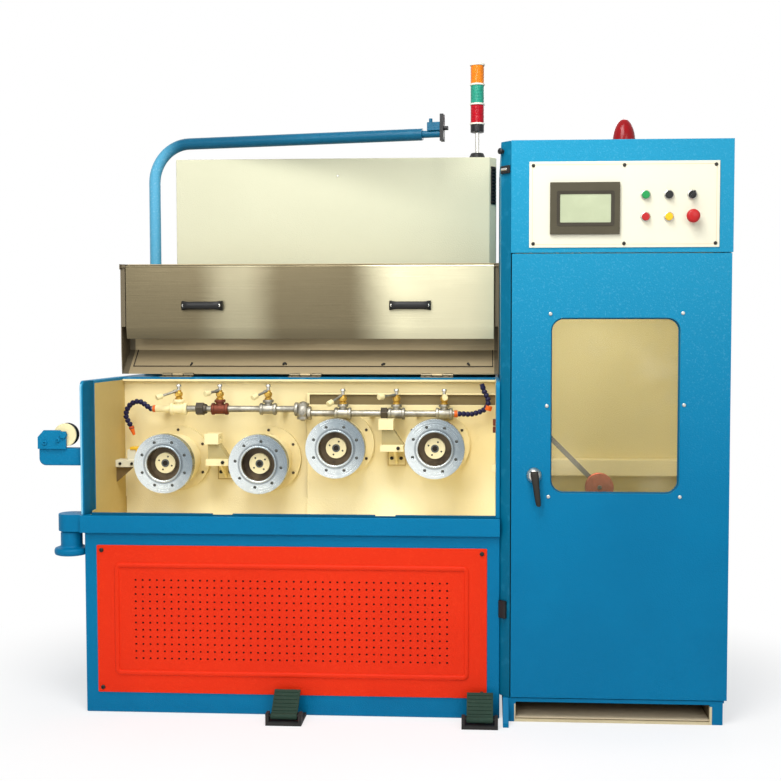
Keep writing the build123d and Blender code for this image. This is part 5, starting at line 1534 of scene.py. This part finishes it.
# %% Control head fittings
plate_low, plate_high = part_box("control_plate")
plate_front = plate_low.y
INSET = 0.009
LINE = 0.0012
PRINT = 0.0004
PLATE_SCREW = 0.012


def grown(edges, by):
    """The edges of a rectangle, each further out."""
    return (edges[0] - by, edges[1] + by, edges[2] - by, edges[3] + by)


plate_sides = (plate_low.x, plate_high.x, plate_low.z, plate_high.z)
outer_edge = grown(plate_sides, -INSET)
inner_edge = grown(outer_edge, -LINE)
framed_piece("plate_border", ((outer_edge, 0.004, plate_front), (outer_edge, 0.004, plate_front - PRINT),
                              (inner_edge, 0.003, plate_front - PRINT), (inner_edge, 0.003, plate_front)),
             line_tan, "machine")
plate_screws = []
for x in (plate_low.x + PLATE_SCREW, (plate_low.x + plate_high.x) / 2, plate_high.x - PLATE_SCREW):
    for z in (plate_low.z + PLATE_SCREW, plate_high.z - PLATE_SCREW):
        plate_screws.append((x, plate_front, z))
screws("plate_screws", plate_screws, 0.0055, 0.003, OUT, dark_steel, "machine")
op_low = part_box("operator_panel")[0]
screen_edge = (op_low.x + 0.030, op_low.x + 0.184, op_low.z + 0.035, op_low.z + 0.121)
screen = bmesh.new()
rings = bridged(screen, [rounded_loop(*screen_edge, 0.003, op_low.y + depth) for depth in (0.0022, 0.0012)])
screen.faces.new(rings[-1])
screen.faces.new(reversed(rings[0]))
piece_from("operator_screen", screen, screen_face, "machine")
wide = grown(screen_edge, 0.010)
framed_piece("screen_surround", ((wide, 0.006, op_low.y), (wide, 0.006, op_low.y - 0.0012),
                                 (screen_edge, 0.003, op_low.y - 0.0004), (screen_edge, 0.003, op_low.y)),
             bezel_olive, "machine")

BUTTON_X = (0.352, 0.422, 0.492)
BUTTON_Z = (0.158, 0.092)
BEZEL = [(0, 0.0155), (0.002, 0.0155), (0.004, 0.014), (0.0045, 0.0125), (0.0025, 0.0122), (0.0025, 0.0)]
KEY = [(0.002, 0.0122), (0.011, 0.0122), (0.0132, 0.0110), (0.0136, 0.0088), (0.0128, 0.0)]
SELECTOR = [(0.002, 0.0118), (0.008, 0.0118), (0.010, 0.0105), (0.010, 0.0)]
STOP = [(0.002, 0.011), (0.016, 0.011), (0.018, 0.019), (0.021, 0.0205), (0.026, 0.0205), (0.031, 0.0185),
        (0.0335, 0.013), (0.034, 0.0)]


def button_spot(column, row):
    """The middle of a button on the plate."""
    return Vector((plate_low.x + BUTTON_X[column], plate_front, plate_low.z + BUTTON_Z[row]))


bezels = [(button_spot(column, row), OUT, BEZEL, 32) for column in range(3) for row in range(2)]
turned_piece("button_bezels", bezels, bright_steel, "machine", ("control_buttons",))
HEADS = (("green", 0, 0, green_key), ("black", 1, 0, black), ("red", 0, 1, red_key),
         ("yellow", 1, 1, yellow_key))
for colour, column, row, plastic in HEADS:
    turned_piece(f"button_{colour}", [(button_spot(column, row), OUT, KEY, 32)], plastic, "machine")
selector = bmesh.new()
spot = button_spot(2, 0)
turned(selector, spot, OUT, SELECTOR, 32)
SELECTOR_ANGLE = math.radians(60)
lean = Vector((math.cos(SELECTOR_ANGLE), 0, math.sin(SELECTOR_ANGLE)))
cross = Vector((-lean.z, 0, lean.x))
outline = [spot + OUT * 0.009 + lean * u + cross * v
           for u, v in ((0.0125, 0.003), (-0.0125, 0.004), (-0.0125, -0.004), (0.0125, -0.003))]
drawn(selector, outline, OUT * 0.010)
piece_from("selector_knob", selector, black, "machine", width=0.0006)
turned_piece("emergency_stop", [(button_spot(2, 1), OUT, STOP, 36)], red_key, "machine")
print("buttons", len(bezels))

# %% [markdown]
# ## Warning lamp
# A red dome on a dark foot. The dome's profile is a rounded paraboloid.

# %% Warning lamp
lamp_low, lamp_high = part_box("warning_lamp")
lamp_centre = Vector(((lamp_low.x + lamp_high.x) / 2, (lamp_low.y + lamp_high.y) / 2, lamp_low.z))
lamp_height = lamp_high.z - lamp_low.z
lamp_radius = (lamp_high.x - lamp_low.x) / 2
FOOT_TOP = 0.016
DOME_STEPS = 14
dome_radius = lamp_radius * 1.04
dome_profile = [(FOOT_TOP, dome_radius)]
for k in range(1, DOME_STEPS + 1):
    share = k / DOME_STEPS
    dome_profile.append((FOOT_TOP + (lamp_height - FOOT_TOP) * share,
                         dome_radius * (1 - share ** 2.4) ** 0.56))
turned_piece("lamp_dome", [(lamp_centre, UP, dome_profile, 40)], dome_red, "machine",
             ("warning_lamp",))
foot_profile = [(0, lamp_radius), (0.012, lamp_radius), (FOOT_TOP, lamp_radius * 0.97),
                (0.018, lamp_radius * 0.9)]
turned_piece("lamp_foot", [(lamp_centre, UP, foot_profile, 40)], black, "machine")
print("lamp height", round(lamp_height, 3))

# %% [markdown]
# ## Door, lock and side fittings
# Six screws hold the window. The lock is a chrome rose with a dark swing lever, and the cabinet's left
# corner carries a black hinge, a small knob and a latch block.

# %% Door fittings
door_low, door_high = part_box("door_panel")
glass_low, glass_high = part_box("door_glass")
door_front = door_low.y
GLASS_LAP = 0.014
WIN_R = 0.040
SEAL = 0.004
window = grown((glass_low.x, glass_high.x, glass_low.z, glass_high.z), -GLASS_LAP)
win_x0, win_x1, win_z0, win_z1 = window
win_mid = (win_z0 + win_z1) / 2
inner_edge = grown(window, -SEAL)
framed_piece("window_seal", ((window, WIN_R, door_front + 0.012), (window, WIN_R, glass_low.y),
                             (inner_edge, WIN_R - SEAL, glass_low.y),
                             (inner_edge, WIN_R - SEAL, door_front + 0.014)), lip_blue, "door")
window_spots = ((win_x0 - 0.002, win_z1 + 0.012), (win_x1 + 0.006, win_z1 + 0.014), (win_x0 - 0.012, win_mid),
                (win_x1 + 0.012, win_mid + 0.004), (win_x0 - 0.006, win_z0 - 0.010),
                (win_x1 + 0.002, win_z0 - 0.008))
screws("window_screws", [(x, door_front, z) for x, z in window_spots], 0.0058, 0.0035, OUT, bright_steel,
       "door")
lock_low, lock_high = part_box("door_lock")
lock_x = lock_low.x + 0.024
lock_z = lock_high.z - 0.024
ROSE = [(0, 0.024), (0.004, 0.024), (0.010, 0.020), (0.013, 0.0165), (0.016, 0.0165), (0.018, 0.014),
        (0.018, 0.0)]
turned_piece("lock_rose", [((lock_x, door_front - 0.0006, lock_z), OUT, ROSE, 36)], bright_steel,
             "lock_lever",
             ("door_lock",))
LEVER_SIDES = 12
LEVER = ((0.0, 0.012, 0.014, 0.026), (0.12, 0.013, 0.015, 0.029), (0.45, 0.010, 0.017, 0.030),
         (0.8, 0.009, 0.018, 0.030), (0.96, 0.0075, 0.019, 0.029), (1.0, 0.004, 0.021, 0.027))
lever = bmesh.new()
sections = []
for share, half, near, far in LEVER:
    middle = Vector((lock_x + 0.014 * share, door_front, lock_z + 0.014 - 0.108 * share))
    ring = []
    for m in range(LEVER_SIDES):
        angle = 2 * math.pi * m / LEVER_SIDES
        depth = -(near + far) / 2 + (far - near) / 2 * math.sin(angle)
        ring.append(middle + Vector((half * math.cos(angle), depth, 0)))
    sections.append(ring)
capped(lever, sections)
piece_from("lock_swing_lever", lever, dark_steel, "lock_lever")

slab_piece("plinth_pan", [((plinth_box[0].x + LEG, plinth_front + 0.006, plinth_box[0].z + 0.010),
                           (plinth_box[1].x - LEG, plinth_front + 0.35, plinth_box[0].z + 0.014))],
           pan_sheet, 0.001)
slab_piece("door_edge_strip", [((door_low.x - 0.006, door_high.y + 0.0006, door_low.z + 0.004),
                                (door_low.x + 0.010, door_high.y + 0.006, door_high.z - 0.004))],
           rubber, 0.001)
HINGE_Z = 1.715
SIDE_KNOB_Z = 1.772
LATCH_Z = 0.352
PIN = [(0, 0.0035), (0.001, 0.0045), (0.023, 0.0045), (0.024, 0.0035)]
SIDE_KNOB = [(0, 0.006), (0.004, 0.005), (0.008, 0.009), (0.014, 0.0095), (0.017, 0.006), (0.017, 0.0)]
strip_mid = Vector((cabinet[0].x + CHAMFER / 2, door_front + CHAMFER / 2, 0))
strip_out = Vector((-DIAGONAL, -DIAGONAL, 0))
strip_across = Vector((DIAGONAL, -DIAGONAL, 0))
hinge = bmesh.new()
middle = strip_mid + UP * HINGE_Z
leaning_plate(hinge, middle, strip_across, 0.019, 0.012, strip_out * 0.007)
piece_from("side_hinge_plate", hinge, black, "machine", width=0.002)
pin_end = middle + strip_out * 0.008 - strip_across * 0.012
turned_piece("side_hinge_pin", [(pin_end, strip_across, PIN, 16)], bright_steel, "machine")
knob_spot = strip_mid - strip_across * 0.014 + UP * SIDE_KNOB_Z
turned_piece("side_knob", [(knob_spot, strip_out, SIDE_KNOB, 20)], black, "machine")
latch = bmesh.new()
leaning_plate(latch, strip_mid - strip_across * 0.004 + UP * LATCH_Z, strip_across, 0.014, 0.028,
              strip_out * 0.012)
piece_from("side_latch", latch, black, "machine", width=0.003)
print("door fittings ready")

# %% [markdown]
# ## Floor, light and camera
# A pale floor and a white surround. The world is white to the camera, to gloss and to glass, and a softer
# grey as a light, so that colours render about as they were mixed. Large lamps stand in front, above and
# behind, and a small one lights the cabinet's inside.

# %% Stage
floor_finish = Finish("studio_floor", Roughness=0.9)
floor_tone = floor_finish.ramp(floor_finish.noise(1.3, 2.0), 0.3, 0.7)
floor_finish.feed(Base_Color=floor_finish.mix(floor_tone, (0.9, 0.9, 0.9, 1.0), (0.93, 0.93, 0.93, 1.0)))
away = (floor_finish.x * floor_finish.x + floor_finish.y * floor_finish.y * 2.0).root()
clear = floor_finish.ramp(away, 1.0, 1.9) * 0.4 + 0.6
ray = floor_finish.node("ShaderNodeLightPath", out="Is Camera Ray")
looked_at = ray + ray.output("Is Glossy Ray") + ray.output("Is Transmission Ray")
paper = floor_finish.node("ShaderNodeEmission", None, {"Color": (1, 1, 1, 1), "Strength": 1.0})
lit = Value(floor_finish, floor_finish.shader.outputs["BSDF"])
blend = floor_finish.node("ShaderNodeMixShader", None, {0: clear * looked_at, 1: lit, 2: paper})
floor_finish.tree.links.new(blend.socket, floor_finish.tree.nodes["Material Output"].inputs["Surface"])
floor_mesh = bpy.data.meshes.new("studio_floor")
FLOOR = 30.0
floor_mesh.from_pydata([(-FLOOR, -FLOOR, 0), (FLOOR, -FLOOR, 0), (FLOOR, FLOOR, 0), (-FLOOR, FLOOR, 0)], [],
                       [(0, 1, 2, 3)])
floor_mesh.materials.append(floor_finish.material)
floor = bpy.data.objects.new("studio_floor", floor_mesh)
bpy.context.scene.collection.objects.link(floor)

world = bpy.data.worlds.new("studio_world")
bpy.context.scene.world = world
world.use_nodes = True
surround = Graph(world.node_tree)
world.node_tree.nodes.clear()
rays = surround.node("ShaderNodeLightPath", out="Is Camera Ray")
seen = rays + rays.output("Is Glossy Ray") + rays.output("Is Transmission Ray")
white = surround.node("ShaderNodeBackground", None, {"Color": (1, 1, 1, 1), "Strength": 1.0})
AMBIENT = 0.34
dim = surround.node("ShaderNodeBackground", None, {"Color": (1, 1, 1, 1), "Strength": AMBIENT})
surround.node("ShaderNodeOutputWorld", None,
              {"Surface": surround.node("ShaderNodeMixShader", None, {0: seen, 1: dim, 2: white})})


def lamp(name, place, target, size, power):
    light = bpy.data.lights.new(name, "AREA")
    light.shape = "SQUARE"
    light.size = size
    light.energy = power
    made = bpy.data.objects.new(name, light)
    made.location = place
    made.rotation_euler = (Vector(target) - Vector(place)).to_track_quat("-Z", "Y").to_euler()
    bpy.context.scene.collection.objects.link(made)


lamp("key_lamp", (-1.9, -4.9, 3.2), (0, 0, 1.0), 2.2, 86.0)
lamp("fill_lamp", (2.4, -4.9, 3.0), (0.2, 0, 1.0), 2.2, 60.0)
lamp("top_lamp", (-0.1, -1.7, 3.3), (-0.1, -0.1, 0.8), 1.4, 68.0)
lamp("back_lamp", (0.8, 4.8, 3.4), (0, 0, 1.0), 2.4, 70.0)
lamp("cabinet_lamp", (0.70, -0.16, 1.42), (0.72, 0.3, 0.7), 0.2, 2.8)

camera_data = bpy.data.cameras.new("camera")
camera = bpy.data.objects.new("camera", camera_data)
bpy.context.scene.collection.objects.link(camera)
CAMERA_PLACE = (0.354, -3.933, 1.208)
CAMERA_PITCH = 87.24
CAMERA_YAW = 3.235
CAMERA_LENS = 53.0
CAMERA_SHIFT = -0.0442
camera.location = CAMERA_PLACE
camera.rotation_euler = (math.radians(CAMERA_PITCH), 0.0, math.radians(CAMERA_YAW))
camera_data.sensor_width = 36.0
camera_data.lens = CAMERA_LENS
camera_data.shift_x = CAMERA_SHIFT
bpy.context.scene.camera = camera
bpy.context.scene.view_settings.view_transform = "Standard"
print("camera", CAMERA_PLACE)
